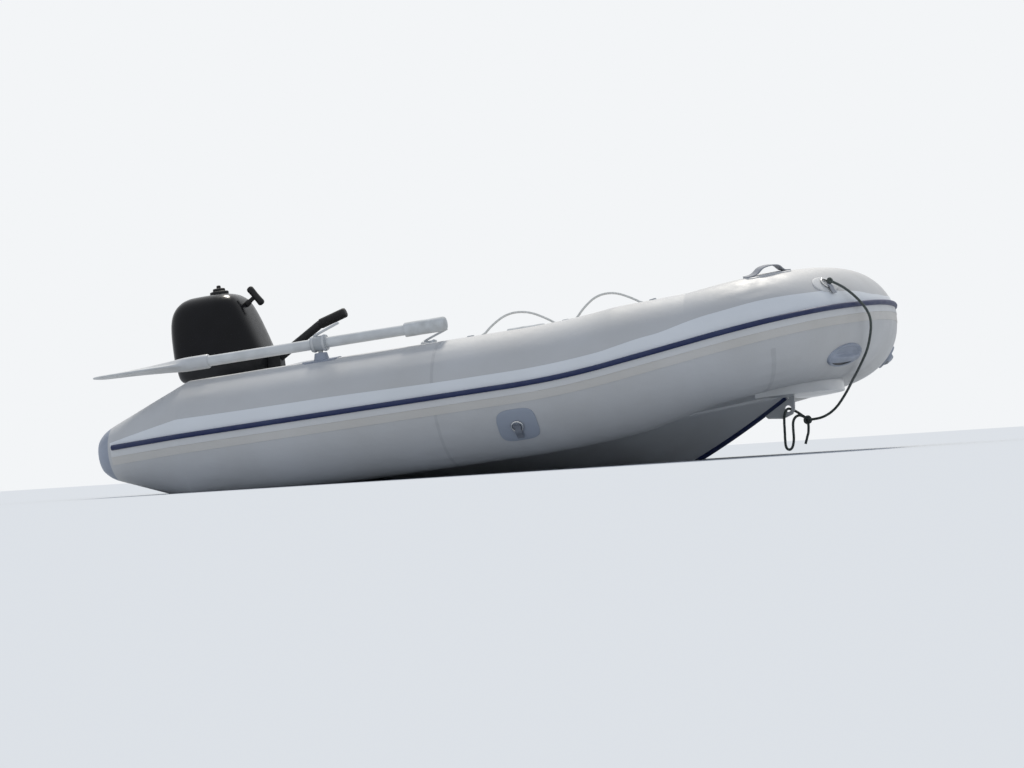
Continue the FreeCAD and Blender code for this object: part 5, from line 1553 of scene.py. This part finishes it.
def prop_ring(radius, half, pitch, thick):
    """One section of an upright blade, round its own middle."""
    lean = math.radians(pitch)
    chord = Vector((math.sin(lean), math.cos(lean), 0))
    through = Vector((math.cos(lean), -math.sin(lean), 0))
    ring = []
    for turn in full_turn(BLADE_POINTS):
        way = math.cos(turn)
        lens = math.sin(turn) * thick * (1 - 0.5 * way ** 2)
        ring.append(UPWARD * radius + chord * (half * way)
                    + through * (lens - BLADE_CUP * way ** 2))
    return ring


prop_middle = Vector((HUB_START - HUB_LENGTH / 2, 0, PROP_Z))
prop_parts = [turned(Vector((HUB_START, 0, PROP_Z)), -FORWARD, HUB_ROWS)]
for degrees in BLADE_TURNS:
    about = Matrix.Rotation(math.radians(degrees), 3, "X")
    prop_parts.append(from_rings([[prop_middle + about @ p for p in prop_ring(*section)]
                                  for section in PROP_SECTIONS]))
propeller = joined(*prop_parts)
new_piece("propeller_blades", propeller, MOTOR_PAINT, "motor_metal", node="propeller",
          body="propeller", sharp=60)
print("propeller faces", len(propeller[1]))

# %% [markdown]
# ## Coatings for the frame's own solids
# Boards, brackets and castings are rigid and already have their right shape in the CAD. They
# keep their solids and only get a coating here, so nothing is modelled twice.

# %% Coatings made for boards and floor


def painted_board(name, colour, worn):
    """Painted plywood: long faint grain under the paint."""
    board = Finish(name, 0.42, gloss=0.45)
    grain = board.streaks((0.004, 0.16, 0.006), 4.0)
    board.colour(board.blend(board.between(grain, 0.4, 0.75, 0.0, 0.7), colour, worn))
    board.roughness(board.between(board.clouds(0.03), 0.3, 0.7, 0.36, 0.52))
    board.relief(grain, 0.00018)
    return board.material


def non_slip(name, colour, worn):
    """Moulded floor with a fine raised pattern, scuffed along its middle."""
    sole = Finish(name, 0.5, gloss=0.4)
    raised = sole.between(sole.cells(0.010, 0.0), 0.20, 0.34, 1.0, 0.0)
    scuffs = sole.between(sole.clouds(0.09, 6.0), 0.42, 0.7)
    sole.colour(sole.blend(scuffs, colour, worn))
    sole.relief(raised, 0.0007)
    sole.relief(sole.clouds(0.0012, 2.0), 0.0001)
    return sole.material


SEAT_BOARD = painted_board("seat_board", card(196, 196, 192), card(180, 179, 173))
TRANSOM_PAINT = painted_board("transom_paint", card(188, 189, 189), card(170, 170, 167))
FLOOR_SKIN = non_slip("floor_skin", card(168, 170, 171), card(148, 149, 148))
SHAFT_PAINT = moulding("shaft_paint", card(203, 205, 205), card(188, 190, 190), rough=0.34)
EYELET = moulding("eyelet_rubber", card(182, 185, 188), card(168, 171, 174), rough=0.5)
print("finishes in all", len(bpy.data.materials))

# %% [markdown]
# The finish goes on the solid's own material slots, so nothing about its mesh changes.

# %% Dress them


def dress(finish, *nodes):
    for node in nodes:
        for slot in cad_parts[node].material_slots:
            slot.material = finish


dress(TRANSOM_PAINT, "transom")
dress(SEAT_BOARD, "thwart")
dress(FLOOR_SKIN, "deck")
dress(GELCOAT, "bow_step", "tow_eye")
dress(GREY_MOULDING, "tail_caps", "thwart_holders", "transom_knees", "valves", "oarlocks")
dress(EYELET, "grab_rope_saddles")
dress(DARK_RUBBER_AND_POCKET_SHADE, "motor_pads", "drain_plug")
dress(STEEL, "rings", "clamp_screws")
dress(MOTOR_PAINT, "clamp_bracket", "swivel_bracket", "motor_leg", "gearcase", "tiller_arm")
dress(CASTING, "engine_block")
dress(SHAFT_PAINT, "oar_shaft_starboard", "oar_shaft_port")
dress(CLIP_PLASTIC, "oar_collar_starboard", "oar_collar_port")
print("solids of the frame", len(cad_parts))
